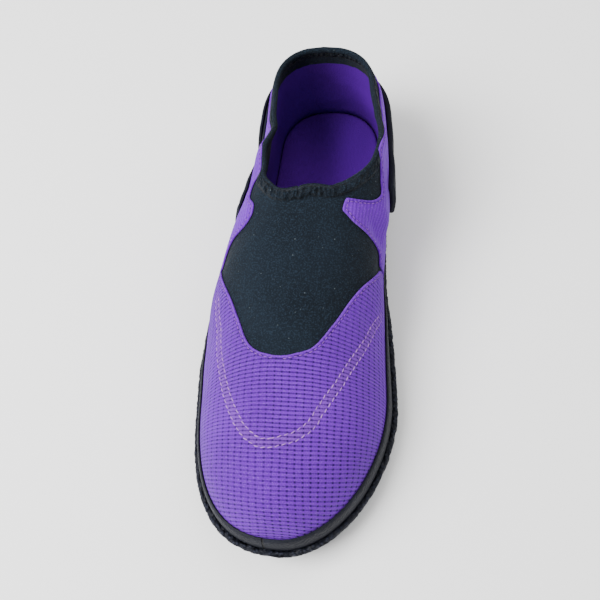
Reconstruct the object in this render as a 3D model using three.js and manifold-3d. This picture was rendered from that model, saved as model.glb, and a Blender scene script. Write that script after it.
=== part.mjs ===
// Slip-on water shoe for the left foot, standing empty on its sole.
// Millimetres, +Z up. The toe points to -Y and the outer side of the foot is +X.
import * as THREE from 'three';
import { mergeVertices } from 'three/addons/utils/BufferGeometryUtils.js';
import Module from 'manifold-3d';

const wasm = await Module();
wasm.setup();

// Driving dimensions
const length = 256;             // outsole, toe end to heel end
const ballWidth = 98;           // outsole across the joints of the toes
const waistWidth = 76;          // outsole under the arch
const heelWidth = 69;           // outsole across the heel
const instepHeight = 66;        // ground to the instep, which the section heights follow
const soleThickness = 9;        // outsole at the heel, with its rough lower sidewall
const toeSpring = 10;           // how far the toe end lifts
const heelSpring = 2;           // how far the heel end lifts
const archLift = 2.2;           // how far the waist of the sole lifts
const bandHeight = 10;          // smooth rubber band above the outsole
const bandThickness = 2.2;
const bandStep = 1.3;           // how far the outsole stands out beyond the band
const wall = 2;                 // stretch fabric of the upper
const hemThickness = 0.8;       // extra layer where the collar is turned and stitched
const hemHeight = 4;
const meshThickness = 0.9;      // purple mesh panels
const insoleThickness = 3;
const insoleRim = 1.5;          // how far the insole's top edge slopes in
const strapWidth = 22;
const strapThickness = 1.8;
const treadDepth = 2.4;
const treadGroove = 3;
const treadPitch = 13;
const treadBorder = 9;          // uncut rim round the tread
const clearance = 0.3;          // gap between pieces that meet

// How far each layer lies from the outer face of the upper
const meshInner = clearance;
const meshOuter = meshInner + meshThickness;
const bandInner = meshOuter + clearance;
const bandOuter = bandInner + bandThickness;
const upperInset = bandOuter + bandStep;
const upperLength = length - 2 * upperInset;

// Outline of the outsole. at is a share of the length from the heel end, centre a share of the
// ball width, and medial and lateral are shares of the width that the row follows.
const outlineRows = [
  { at: 0.00, centre: 0.065, medial: 0.500, lateral: 0.500, width: heelWidth },
  { at: 0.15, centre: 0.065, medial: 0.500, lateral: 0.500, width: heelWidth },
  { at: 0.32, centre: 0.045, medial: 0.480, lateral: 0.465, width: waistWidth },
  { at: 0.46, centre: 0.016, medial: 0.432, lateral: 0.402, width: ballWidth },
  { at: 0.55, centre: -0.004, medial: 0.490, lateral: 0.455, width: ballWidth },
  { at: 0.64, centre: -0.012, medial: 0.503, lateral: 0.490, width: ballWidth },
  { at: 0.74, centre: -0.010, medial: 0.493, lateral: 0.508, width: ballWidth },
  { at: 0.86, centre: -0.004, medial: 0.494, lateral: 0.505, width: ballWidth },
  { at: 1.00, centre: 0.000, medial: 0.500, lateral: 0.500, width: ballWidth },
];

// How the outline rounds off at its ends: reach is a share of the length and power the fullness
const toeRoundMedial = { reach: 0.297, power: 2.45 };
const toeRoundLateral = { reach: 0.289, power: 1.85 };
const heelRound = { reach: 0.141, power: 2.3 };

// Sidewall of the outsole, from its foot up and from its top down
const sidewallFoot = [
  { inset: 3.2, lift: 0 },
  { inset: 0.9, lift: 0.8 },
  { inset: 0, lift: 2.6 },
];
const sidewallTop = [
  { inset: 0, drop: 1 },
  { inset: 0.6, drop: 0 },
];

// Sections of the last. at is a share of the upper's length from the heel, top the height of the
// ridge as a share of the instep height, ridge its sideways place and the bulges the swell of
// each wall as shares of the ball width, and full the squareness of the section.
const sectionRows = [
  { at: 0.000, top: 1.220, ridge: 0.065, full: 4.00, bulgeMedial: -0.014, bulgeLateral: -0.014 },
  { at: 0.120, top: 1.240, ridge: 0.060, full: 2.90, bulgeMedial: 0.000, bulgeLateral: 0.030 },
  { at: 0.250, top: 1.250, ridge: 0.050, full: 2.45, bulgeMedial: 0.005, bulgeLateral: 0.085 },
  { at: 0.325, top: 1.205, ridge: 0.032, full: 2.35, bulgeMedial: 0.030, bulgeLateral: 0.105 },
  { at: 0.375, top: 1.100, ridge: 0.015, full: 2.28, bulgeMedial: 0.050, bulgeLateral: 0.110 },
  { at: 0.490, top: 0.955, ridge: -0.010, full: 2.10, bulgeMedial: 0.060, bulgeLateral: 0.070 },
  { at: 0.614, top: 0.820, ridge: -0.030, full: 2.05, bulgeMedial: 0.010, bulgeLateral: 0.015 },
  { at: 0.715, top: 0.735, ridge: -0.040, full: 2.10, bulgeMedial: 0.000, bulgeLateral: 0.000 },
  { at: 0.800, top: 0.680, ridge: -0.035, full: 2.20, bulgeMedial: 0.000, bulgeLateral: 0.000 },
  { at: 1.000, top: 0.620, ridge: -0.010, full: 2.30, bulgeMedial: 0.000, bulgeLateral: 0.000 },
];
const toeFan = 0.195 * length;       // where the ridge ends before the toe
const heelFan = 0.141 * length;      // where the ridge ends before the heel
const fanBlend = 0.047 * length;

// Side profile of the collar: at is a share of the length from the heel end, top a share of the
// instep height. The front drops steeply, so that the mouth starts wide.
const toplineRows = [
  { at: -0.060, top: 1.040 },
  { at: 0.060, top: 1.030 },
  { at: 0.140, top: 1.030 },
  { at: 0.220, top: 1.040 },
  { at: 0.300, top: 1.055 },
  { at: 0.345, top: 1.060 },
  { at: 0.370, top: 1.065 },
  { at: 0.386, top: 1.095 },
  { at: 0.395, top: 1.250 },
];

// Edge of the toe panel: up runs from the sole line, 0, to the ridge, 1, and at is the station
const toePanelMedial = [
  { up: 0.000, at: 0.500 },
  { up: 0.300, at: 0.503 },
  { up: 0.420, at: 0.508 },
  { up: 0.525, at: 0.541 },
  { up: 0.603, at: 0.574 },
  { up: 0.670, at: 0.615 },
  { up: 0.785, at: 0.668 },
  { up: 0.880, at: 0.688 },
  { up: 1.000, at: 0.699 },
];
const toePanelLateral = [
  { up: 0.000, at: 0.472 },
  { up: 0.250, at: 0.475 },
  { up: 0.323, at: 0.488 },
  { up: 0.420, at: 0.513 },
  { up: 0.525, at: 0.545 },
  { up: 0.610, at: 0.586 },
  { up: 0.693, at: 0.628 },
  { up: 0.820, at: 0.675 },
  { up: 0.935, at: 0.692 },
  { up: 1.000, at: 0.699 },
];

// Edge of the heel panel, from the back of the heel to the side seam: each row joins a station
// on the sole line to a place on the panel's upper edge. The highest rows are the pointed flags.
const heelPanelMedial = [
  { base: 0.000, at: 0.000, up: 0.300 },
  { base: 0.120, at: 0.120, up: 0.390 },
  { base: 0.220, at: 0.220, up: 0.500 },
  { base: 0.300, at: 0.303, up: 0.600 },
  { base: 0.335, at: 0.338, up: 0.600 },
  { base: 0.361, at: 0.361, up: 0.605 },
  { base: 0.383, at: 0.386, up: 0.620 },
  { base: 0.398, at: 0.404, up: 0.690 },
  { base: 0.412, at: 0.419, up: 0.706 },
  { base: 0.428, at: 0.434, up: 0.688 },
  { base: 0.444, at: 0.446, up: 0.640 },
  { base: 0.462, at: 0.458, up: 0.522 },
  { base: 0.482, at: 0.475, up: 0.440 },
  { base: 0.497, at: 0.499, up: 0.400 },
];
const heelPanelLateral = [
  { base: 0.000, at: 0.000, up: 0.300 },
  { base: 0.120, at: 0.120, up: 0.390 },
  { base: 0.220, at: 0.220, up: 0.500 },
  { base: 0.300, at: 0.301, up: 0.603 },
  { base: 0.320, at: 0.320, up: 0.565 },
  { base: 0.340, at: 0.342, up: 0.520 },
  { base: 0.356, at: 0.359, up: 0.492 },
  { base: 0.370, at: 0.374, up: 0.527 },
  { base: 0.381, at: 0.386, up: 0.585 },
  { base: 0.390, at: 0.394, up: 0.672 },
  { base: 0.400, at: 0.398, up: 0.743 },
  { base: 0.415, at: 0.420, up: 0.750 },
  { base: 0.430, at: 0.437, up: 0.657 },
  { base: 0.445, at: 0.445, up: 0.500 },
  { base: 0.457, at: 0.453, up: 0.370 },
  { base: 0.469, at: 0.472, up: 0.300 },
];

// Heel strap: centre is the height of its middle as a share of the instep height
const strapRows = [
  { at: 0.00, centre: 0.52 },
  { at: 0.12, centre: 0.53 },
  { at: 0.25, centre: 0.58 },
  { at: 0.38, centre: 0.66 },
];

// Stations of the strap's ends: the inner strap runs from the medial front to under the outer
// one, and the outer strap from its free tip on the medial side to the lateral front
const strapEnds = { medialFront: 0.385, under: 0.02, tip: 0.20, lateralFront: 0.335 };
const tipFullness = 0.8;        // how much of the strap's half width rounds off at the tip

const steps = 64;               // facets round the shoe

// Smooth curve through a table's rows, read at a place
function read(rows, along, column, place) {
  const last = rows.length - 1;
  const value = (i) => rows[i][column] * (column in { medial: 1, lateral: 1 } ? rows[i].width : 1);
  const slope = (i) => {
    const before = Math.max(i - 1, 0);
    const after = Math.min(i + 1, last);
    return (value(after) - value(before)) / (rows[after][along] - rows[before][along]);
  };
  const x = Math.min(Math.max(place, rows[0][along]), rows[last][along]);
  let i = 0;
  while (i < last - 1 && x > rows[i + 1][along]) i += 1;
  const span = rows[i + 1][along] - rows[i][along];
  const t = (x - rows[i][along]) / span;
  const t2 = t * t;
  const t3 = t2 * t;
  return (2 * t3 - 3 * t2 + 1) * value(i) + (t3 - 2 * t2 + t) * span * slope(i)
    + (3 * t2 - 2 * t3) * value(i + 1) + (t3 - t2) * span * slope(i + 1);
}

// Superellipse quarter: 0 at the end itself and 1 from the reach on
function rounded(distance, reach, power) {
  const gone = Math.min(Math.max(1 - distance / reach, 0), 1);
  return (1 - gone ** power) ** (1 / power);
}

// Half-outline of the sole, drawn in by an inset, at s millimetres from the heel end
function outline(s, side, inset = 0) {
  const at = s / length;
  const centre = ballWidth * read(outlineRows, 'at', 'centre', at);
  const half = read(outlineRows, 'at', side < 0 ? 'medial' : 'lateral', at) - inset;
  const toe = side < 0 ? toeRoundMedial : toeRoundLateral;
  const toeShare = rounded(length - inset - s, toe.reach * length - inset, toe.power);
  const heelShare = rounded(s - inset, heelRound.reach * length - inset, heelRound.power);
  return centre + side * half * toeShare * heelShare;
}

const springStart = 0.727 * length;
const heelSpringEnd = 0.055 * length;
const archStart = 0.24 * length;
const archEnd = 0.58 * length;

function toeLift(s) {
  return toeSpring * Math.max((s - springStart) / (length - springStart), 0) ** 2;
}

// Underside of the sole: flat at the heel and the ball, lifted at the toe, heel end and arch
function soleBottom(s) {
  const arch = Math.min(Math.max((s - archStart) / (archEnd - archStart), 0), 1);
  const heel = Math.max((heelSpringEnd - s) / heelSpringEnd, 0);
  return toeLift(s) + heelSpring * heel ** 2 + archLift * Math.sin(Math.PI * arch) ** 2;
}

// Top of the outsole, which thins towards the toe
const soleThinning = 0.22;
function soleTop(s) {
  return toeLift(s) + soleThickness * (1 - soleThinning * s / length);
}

const softly = (x) => Math.log1p(Math.exp(-Math.abs(x))) + Math.max(x, 0);

// Station of a place round the shoe: round is 0 at the heel, -1 or 1 at the toe, medial negative
const stationOf = (round) => (1 - Math.cos(Math.PI * Math.abs(round))) / 2;
const roundOf = (station) => Math.acos(1 - 2 * station) / Math.PI;
const wrap = (round) => ((((round + 1) % 2) + 2) % 2) - 1;

// The last: a point round the shoe and up from the sole line, 0, to the ridge, 1. Each rib is a
// superellipse from the sole line to its own place on the ridge, and ribs fan out at both ends.
function rib(round) {
  const turn = wrap(round);
  const side = turn < 0 ? -1 : 1;
  const station = stationOf(turn);
  const s = upperInset + upperLength * station;
  const toeStop = length - upperInset - toeFan;
  const heelStop = upperInset + heelFan;
  let ridgeS = toeStop - fanBlend * softly((toeStop - s) / fanBlend);
  ridgeS = heelStop + fanBlend * softly((ridgeS - heelStop) / fanBlend);
  const ridgeAt = (ridgeS - upperInset) / upperLength;
  const bulge = read(sectionRows, 'at', side < 0 ? 'bulgeMedial' : 'bulgeLateral', station);
  return {
    baseX: outline(s, side, upperInset),
    baseY: length / 2 - s,
    baseZ: soleTop(s) + clearance,
    ridgeX: ballWidth * read(sectionRows, 'at', 'ridge', ridgeAt),
    ridgeY: length / 2 - ridgeS,
    ridgeZ: instepHeight * read(sectionRows, 'at', 'top', ridgeAt),
    full: read(sectionRows, 'at', 'full', station),
    bulge: ballWidth * bulge,
  };
}

const bulgeGain = 1.9;          // makes the swell of a wall equal to its table value half-way up

function lastPoint(round, up) {
  const r = rib(round);
  const angle = Math.min(Math.max(up, 0), 1) * Math.PI / 2;
  const across = Math.max(Math.cos(angle), 0) ** (2 / r.full);
  const rise = Math.sin(angle) ** (2 / r.full);
  const dx = r.baseX - r.ridgeX;
  const dy = r.baseY - r.ridgeY;
  const reach = across * (1 + r.bulge / Math.hypot(dx, dy) * bulgeGain * rise);
  return new THREE.Vector3(
    r.ridgeX + dx * reach,
    r.ridgeY + dy * reach,
    r.baseZ + (r.ridgeZ - r.baseZ) * rise,
  );
}

// How far up a rib a height above the sole line is
function upAt(round, height) {
  const r = rib(round);
  const rise = Math.min(Math.max(height / (r.ridgeZ - r.baseZ), 0), 1);
  return Math.asin(rise ** (r.full / 2)) * 2 / Math.PI;
}

// The same form grown outwards by an offset. Its sole line stays level with the last's own. The
// sideways step is read just below the ridge, because on the ridge itself it can vanish.
const probe = 0.004;
const nearRidge = 0.985;
function formPoint(round, up, offset) {
  const point = lastPoint(round, up);
  const below = Math.min(up, nearRidge);
  const along = lastPoint(round + probe, below).sub(lastPoint(round - probe, below));
  const upward = lastPoint(round, up + probe).sub(lastPoint(round, up - probe));
  const normal = upward.cross(along).normalize();
  if (up > 0) return point.addScaledVector(normal, offset);
  point.addScaledVector(normal.setZ(0).normalize(), offset);
  return point.setZ(soleTop(length / 2 - point.y) + clearance);
}

// On the ridge the two sides meet, so the point is their mean
function sharedPoint(round, up, offset) {
  if (up < 1) return formPoint(round, up, offset);
  return formPoint(round, 1, offset).add(formPoint(-round, 1, offset)).multiplyScalar(0.5);
}

const fromPoints = (points, triangles) => {
  const geometry = new THREE.BufferGeometry();
  const numbers = points.flatMap((p) => [p.x, p.y, p.z]);
  geometry.setAttribute('position', new THREE.Float32BufferAttribute(numbers, 3));
  geometry.setIndex(triangles);
  return geometry;
};

// Closed body from a grid of rows of points. Rows join end to end where closed is true, and each
// row joins its own last point to its first, so a row is one loop of a section.
function sweep(loops, closed) {
  const rows = loops.length;
  const columns = loops[0].length;
  const triangles = [];
  const id = (i, j) => (i % rows) * columns + (j % columns);
  const spans = closed ? rows : rows - 1;
  for (let i = 0; i < spans; i += 1) {
    for (let j = 0; j < columns; j += 1) {
      triangles.push(id(i, j), id(i + 1, j), id(i + 1, j + 1));
      triangles.push(id(i, j), id(i + 1, j + 1), id(i, j + 1));
    }
  }
  if (!closed) {
    const end = rows - 1;
    for (let j = 0; j < columns / 2 - 1; j += 1) {
      const back = columns - 1 - j;
      triangles.push(id(0, j), id(0, j + 1), id(0, back - 1));
      triangles.push(id(0, j), id(0, back - 1), id(0, back));
      triangles.push(id(end, j), id(end, back - 1), id(end, j + 1));
      triangles.push(id(end, j), id(end, back), id(end, back - 1));
    }
  }
  return fromPoints(loops.flat(), triangles);
}

// Turns a geometry into a solid, the right way out
function solid(geometry) {
  const bare = geometry.clone();
  bare.deleteAttribute('normal');
  bare.deleteAttribute('uv');
  const merged = mergeVertices(bare, 1e-4);
  const index = [...merged.index.array];
  const position = merged.attributes.position;
  const corner = (i) => new THREE.Vector3().fromBufferAttribute(position, index[i]);
  const kept = [];
  let volume = 0;
  for (let i = 0; i < index.length; i += 3) {
    const [a, b, c] = [index[i], index[i + 1], index[i + 2]];
    if (a !== b && b !== c && a !== c) {
      kept.push(a, b, c);
      volume += corner(i).dot(corner(i + 1).cross(corner(i + 2)));
    }
  }
  if (volume < 0) {
    for (let i = 0; i < kept.length; i += 3) [kept[i], kept[i + 1]] = [kept[i + 1], kept[i]];
  }
  return new wasm.Manifold(new wasm.Mesh({
    numProp: 3,
    vertProperties: new Float32Array(position.array),
    triVerts: new Uint32Array(kept),
  }));
}

function geometryOf(body) {
  const mesh = body.getMesh();
  const geometry = new THREE.BufferGeometry();
  geometry.setAttribute('position', new THREE.BufferAttribute(new Float32Array(mesh.vertProperties), 3));
  geometry.setIndex(new THREE.BufferAttribute(new Uint32Array(mesh.triVerts), 1));
  return geometry;
}

// Places round the whole shoe, heel and toe included once
const places = Array.from({ length: steps }, (_, i) => -1 + 2 * i / steps);

// Body between rings round the shoe, with a lid of cross strips on the first and last ring
function stack(rings) {
  const count = rings[0].length;
  const triangles = [];
  const id = (ring, i) => ring * count + ((i + count) % count);
  for (let ring = 0; ring < rings.length - 1; ring += 1) {
    for (let i = 0; i < count; i += 1) {
      triangles.push(id(ring, i), id(ring + 1, i), id(ring + 1, i + 1));
      triangles.push(id(ring, i), id(ring + 1, i + 1), id(ring, i + 1));
    }
  }
  const top = rings.length - 1;
  for (let i = 0; i < count / 2; i += 1) {
    triangles.push(id(0, i), id(0, i + 1), id(0, -i - 1), id(0, i), id(0, -i - 1), id(0, -i));
    triangles.push(id(top, i), id(top, -i - 1), id(top, i + 1), id(top, i), id(top, -i), id(top, -i - 1));
  }
  return fromPoints(rings.flat(), triangles);
}

// One ring of the sole: an inset outline at a height that depends on the station
function soleRing(inset, heightAt) {
  return places.map((round) => {
    const s = inset + (length - 2 * inset) * stationOf(round);
    return new THREE.Vector3(outline(s, round < 0 ? -1 : 1, inset), length / 2 - s, heightAt(s));
  });
}

// Closed form of the last, grown by an offset and reaching down past the sole line by a drop
const upLevels = [0, 0.06, 0.14, 0.24, 0.36, 0.48, 0.6, 0.72, 0.84, 0.93, 1];
function lastForm(offset, drop) {
  const rings = upLevels.map((up) => places.map((round) => sharedPoint(round, up, offset)));
  const foot = rings[0].map((p) => new THREE.Vector3(p.x, p.y, p.z - drop));
  return solid(stack(drop > 0 ? [foot, ...rings] : rings));
}

// Everything above the topline, moved down by a drop
function aboveTopline(drop) {
  const shape = new THREE.Shape();
  const samples = 28;
  const first = toplineRows[0].at;
  const last = toplineRows[toplineRows.length - 1].at;
  const roof = 2 * instepHeight;
  shape.moveTo(length / 2 - first * length, roof);
  for (let i = 0; i <= samples; i += 1) {
    const at = first + (last - first) * i / samples;
    shape.lineTo(length / 2 - at * length, instepHeight * read(toplineRows, 'at', 'top', at) - drop);
  }
  shape.lineTo(length / 2 - last * length, roof);
  const geometry = new THREE.ExtrudeGeometry(shape, { depth: 2 * ballWidth, bevelEnabled: false });
  geometry.rotateX(Math.PI / 2);
  geometry.rotateZ(Math.PI / 2);
  geometry.translate(-ballWidth, 0, 0);
  return solid(geometry);
}

// Everything between two forms of the last, open underneath
function layer(inner, outer) {
  return lastForm(outer, 0).subtract(lastForm(inner, 2 * wall));
}

// Hollow upper, open at the collar and underneath, with a thicker hem round the collar
function upper() {
  const hem = layer(-wall, hemThickness).intersect(aboveTopline(hemHeight));
  return layer(-wall, 0).add(hem).subtract(aboveTopline(0));
}

// Tread: cross grooves, each bent into a shallow V, that stop at an uncut border
function treadCutter() {
  const floor = soleRing(treadBorder, (s) => soleBottom(s) - treadDepth);
  const roof = soleRing(treadBorder, (s) => soleBottom(s) + treadDepth);
  const area = solid(stack([floor, roof]));
  const count = Math.floor((length - 2 * treadBorder) / treadPitch);
  const arm = ballWidth / 2;
  const bend = treadGroove;
  let grooves = null;
  for (let i = 0; i <= count; i += 1) {
    const y = (i - count / 2) * treadPitch;
    const shape = new THREE.Shape();
    shape.moveTo(-arm, y - treadGroove / 2);
    shape.lineTo(0, y - treadGroove / 2 - bend);
    shape.lineTo(arm, y - treadGroove / 2);
    shape.lineTo(arm, y + treadGroove / 2);
    shape.lineTo(0, y + treadGroove / 2 - bend);
    shape.lineTo(-arm, y + treadGroove / 2);
    const bar = new THREE.ExtrudeGeometry(shape, { depth: 3 * soleThickness, bevelEnabled: false });
    bar.translate(0, 0, -soleThickness);
    grooves = grooves ? grooves.add(solid(bar)) : solid(bar);
  }
  return area.intersect(grooves);
}

function outsole() {
  const foot = sidewallFoot.map((row) => soleRing(row.inset, (s) => soleBottom(s) + row.lift));
  const top = sidewallTop.map((row) => soleRing(row.inset, (s) => soleTop(s) - row.drop));
  return solid(stack([...foot, ...top])).subtract(treadCutter());
}

// Smooth band: one ring section carried round the foot of the upper, fitted to the last
function foxingBand() {
  const buried = bandInner - 0.5 * bandThickness;
  const section = [
    { offset: buried, height: 0 },
    { offset: bandOuter, height: 0 },
    { offset: bandOuter, height: 0.45 },
    { offset: bandOuter, height: 0.82 },
    { offset: bandOuter - 0.25 * bandThickness, height: 0.96 },
    { offset: bandInner + 0.2 * bandThickness, height: 1 },
    { offset: buried, height: 0.9 },
  ];
  const loops = places.map((round) => section.map((corner) => (
    formPoint(round, upAt(round, corner.height * bandHeight), corner.offset)
  )));
  return solid(sweep(loops, true)).subtract(lastForm(bandInner, 2 * wall));
}

function insole() {
  const inset = upperInset + wall + clearance;
  const lift = 2 * clearance;
  return solid(stack([
    soleRing(inset, (s) => soleTop(s) + lift),
    soleRing(inset, (s) => soleTop(s) + lift + 0.8 * insoleThickness),
    soleRing(inset + insoleRim, (s) => soleTop(s) + lift + insoleThickness),
  ]));
}

// Block over part of the last, deep enough to cut any layer. Each column is a list of places,
// from the sole line up.
const blockInner = -2 * wall;
const blockOuter = 4 * wall;

// Where a column stands on the sole line, the block reaches down past it
function blockPoint(p, offset) {
  const point = formPoint(p.round, p.up, offset);
  return p.up > 0 ? point : point.setZ(point.z - 2 * wall);
}

function block(columns) {
  const loops = columns.map((column) => [
    ...column.map((p) => blockPoint(p, blockInner)),
    ...column.slice().reverse().map((p) => blockPoint(p, blockOuter)),
  ]);
  return solid(sweep(loops, false));
}

// Toe panel: lines of equal height run from the edge on one side round the toe to the edge on
// the other side. On the ridge both sides share their points, which closes the block.
function toePanel() {
  const levels = [0, 0.1, 0.2, 0.3, 0.4, 0.5, 0.6, 0.7, 0.8, 0.88, 0.95, 1];
  const half = 20;
  const spans = 2 * half;
  const rows = levels.length;
  const placeAt = (i, up) => {
    const side = i < half ? -1 : 1;
    const edge = roundOf(read(side < 0 ? toePanelMedial : toePanelLateral, 'up', 'at', up));
    return { round: side * (edge + (1 - edge) * (1 - Math.abs(i / half - 1))), up };
  };
  const pointAt = (i, up, offset) => {
    if (up < 1) return blockPoint(placeAt(i, up), offset);
    const ends = [placeAt(i, up), placeAt(spans - i, up)];
    return ends.map((p) => blockPoint(p, offset)).reduce((a, b) => a.add(b)).multiplyScalar(0.5);
  };
  const points = [];
  [blockInner, blockOuter].forEach((offset) => {
    for (let i = 0; i <= spans; i += 1) levels.forEach((up) => points.push(pointAt(i, up, offset)));
  });
  const triangles = [];
  const id = (depth, i, j) => (depth * (spans + 1) + i) * rows + j;
  const quad = (a, b, c, d) => triangles.push(a, b, c, a, c, d);
  for (let i = 0; i < spans; i += 1) {
    for (let j = 0; j < rows - 1; j += 1) {
      quad(id(0, i, j), id(0, i + 1, j), id(0, i + 1, j + 1), id(0, i, j + 1));
      quad(id(1, i, j), id(1, i, j + 1), id(1, i + 1, j + 1), id(1, i + 1, j));
    }
    quad(id(0, i, 0), id(1, i, 0), id(1, i + 1, 0), id(0, i + 1, 0));
  }
  for (let j = 0; j < rows - 1; j += 1) {
    quad(id(0, 0, j), id(0, 0, j + 1), id(1, 0, j + 1), id(1, 0, j));
    quad(id(0, spans, j), id(1, spans, j), id(1, spans, j + 1), id(0, spans, j + 1));
  }
  return layer(meshInner, meshOuter).intersect(solid(fromPoints(points, triangles)));
}

// Heel panel: columns from the sole line to the panel's edge, round the back from seam to seam
function heelPanel() {
  const rows = 7;
  const half = 36;
  const table = (side) => (side < 0 ? heelPanelMedial : heelPanelLateral);
  const column = (side, share) => {
    const rowsOf = table(side);
    const base = rowsOf[rowsOf.length - 1].base * share;
    const top = { at: read(rowsOf, 'base', 'at', base), up: read(rowsOf, 'base', 'up', base) };
    return Array.from({ length: rows + 1 }, (_, j) => ({
      round: side * roundOf(Math.max(base + (top.at - base) * j / rows, 0)),
      up: top.up * j / rows,
    }));
  };
  const columns = [];
  for (let i = -half; i <= half; i += 1) {
    columns.push(column(i < 0 ? -1 : 1, Math.sin(Math.PI / 2 * Math.abs(i) / half)));
  }
  const belowHem = hemHeight + 2 * clearance;
  return layer(meshInner, meshOuter).intersect(block(columns)).subtract(aboveTopline(belowHem));
}

// Strap: a flat band wrapped round the last at a height read from the strap table
function strap(from, to, inner, roundEnd) {
  const count = 24;
  const columns = [];
  for (let i = 0; i <= count; i += 1) {
    const round = from + (to - from) * i / count;
    const rim = Math.min(i / 4, 1);
    const half = strapWidth / 2 * (roundEnd ? Math.sqrt(1 - tipFullness * (1 - rim) ** 2) : 1);
    const middle = instepHeight * read(strapRows, 'at', 'centre', stationOf(round)) - soleTop(0);
    columns.push([-1, -0.5, 0, 0.5, 1].map((k) => ({ round, up: upAt(round, middle + k * half) })));
  }
  return layer(inner, inner + strapThickness).intersect(block(columns));
}

const strapInner = meshOuter + clearance;
const strapOuter = strapInner + strapThickness + clearance;

function innerStrap() {
  return strap(-roundOf(strapEnds.medialFront), -roundOf(strapEnds.under), strapInner, false);
}

function outerStrap() {
  return strap(-roundOf(strapEnds.tip), roundOf(strapEnds.lateralFront), strapOuter, true);
}

// Materials
const rubber = new THREE.MeshStandardMaterial({ color: 0x1f2226, roughness: 0.75, metalness: 0 });
const smoothRubber = new THREE.MeshStandardMaterial({ color: 0x25282d, roughness: 0.5, metalness: 0 });
const stretchFabric = new THREE.MeshStandardMaterial({ color: 0x1c2730, roughness: 0.95, metalness: 0 });
const purpleMesh = new THREE.MeshStandardMaterial({ color: 0x7d54c4, roughness: 0.8, metalness: 0 });
const purpleLining = new THREE.MeshStandardMaterial({ color: 0x4a2a8c, roughness: 0.9, metalness: 0 });
const webbing = new THREE.MeshStandardMaterial({ color: 0x22242a, roughness: 0.85, metalness: 0 });

const shoe = new THREE.Group();

// The tables are drawn from the foot's own axis, so the finished shoe is centred on its sole
const widest = soleRing(0, () => 0).map((p) => p.x);
const middleX = (Math.min(...widest) + Math.max(...widest)) / 2;

function addPiece(name, body, material) {
  const mesh = new THREE.Mesh(geometryOf(body), material);
  mesh.name = name;
  mesh.position.x = -middleX;
  shoe.add(mesh);
}

addPiece('outsole', outsole(), rubber);
addPiece('foxing_band', foxingBand(), smoothRubber);
addPiece('insole', insole(), purpleLining);
addPiece('upper', upper(), stretchFabric);
addPiece('toe_panel', toePanel(), purpleMesh);
addPiece('heel_panel', heelPanel(), purpleMesh);
addPiece('strap_inner', innerStrap(), webbing);
addPiece('strap_outer', outerStrap(), webbing);

export default shoe;
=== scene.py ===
"""Dresses the left water shoe: stretch upper, mesh panels, heel strap, rubber band and sole."""
import math

import bmesh
import bpy
import numpy as np
from bpy.props import FloatProperty, FloatVectorProperty, PointerProperty
from mathutils import Matrix, Vector


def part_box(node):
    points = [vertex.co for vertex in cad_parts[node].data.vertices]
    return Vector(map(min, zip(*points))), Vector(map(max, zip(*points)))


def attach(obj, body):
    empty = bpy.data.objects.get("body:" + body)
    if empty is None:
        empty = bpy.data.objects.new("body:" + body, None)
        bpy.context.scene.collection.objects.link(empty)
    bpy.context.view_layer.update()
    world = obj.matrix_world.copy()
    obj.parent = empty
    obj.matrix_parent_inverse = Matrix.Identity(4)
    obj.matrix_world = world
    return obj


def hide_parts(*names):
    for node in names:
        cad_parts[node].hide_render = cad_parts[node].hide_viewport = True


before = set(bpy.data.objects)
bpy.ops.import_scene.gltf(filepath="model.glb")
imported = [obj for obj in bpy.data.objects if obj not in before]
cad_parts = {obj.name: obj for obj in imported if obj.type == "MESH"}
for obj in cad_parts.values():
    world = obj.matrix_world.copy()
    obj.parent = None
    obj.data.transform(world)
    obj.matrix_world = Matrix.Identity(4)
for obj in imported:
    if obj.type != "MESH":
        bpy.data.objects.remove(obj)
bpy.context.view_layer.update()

bl_info = {
    "name": "Water shoe",
    "version": (1, 0, 0),
    "blender": (4, 5, 0),
    "location": "View3D > Sidebar > Shoe",
    "description": "Builds a slip-on water shoe round its packed solids",
    "category": "Add Mesh",
}

# Box of the solids, before any piece is dressed
MM = 0.001

# Driving sizes in millimetres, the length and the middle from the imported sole
SOLE_LOW, SOLE_HIGH = (np.array(corner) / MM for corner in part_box("outsole"))
LENGTH = SOLE_HIGH[1] - SOLE_LOW[1]
BALL_WIDTH = 98.0
WAIST_WIDTH = 76.0
HEEL_WIDTH = 69.0
INSTEP_HEIGHT = 66.0
SOLE_THICKNESS = 9.0
SOLE_THINNING = 0.22
TOE_SPRING = 10.0
HEEL_SPRING = 2.0
ARCH_LIFT = 2.2
BAND_HEIGHT = 10.0
BAND_THICKNESS = 2.2
BAND_STEP = 1.3
WALL = 2.0
HEM_THICKNESS = 0.8
MESH_THICKNESS = 0.9
INSOLE_THICKNESS = 3.0
STRAP_WIDTH = 22.0
STRAP_THICKNESS = 1.8
TREAD_DEPTH = 2.4
TREAD_GROOVE = 3.0
TREAD_PITCH = 13.0
TREAD_BORDER = 9.0
CLEARANCE = 0.3

MESH_INNER = CLEARANCE
MESH_OUTER = MESH_INNER + MESH_THICKNESS
BAND_INNER = MESH_OUTER + CLEARANCE
BAND_OUTER = BAND_INNER + BAND_THICKNESS
UPPER_INSET = BAND_OUTER + BAND_STEP
UPPER_LENGTH = LENGTH - 2 * UPPER_INSET


def table(columns, *rows):
    """A table with named columns, each an array."""
    return dict(zip(columns.split(), np.array(rows, float).T))


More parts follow.
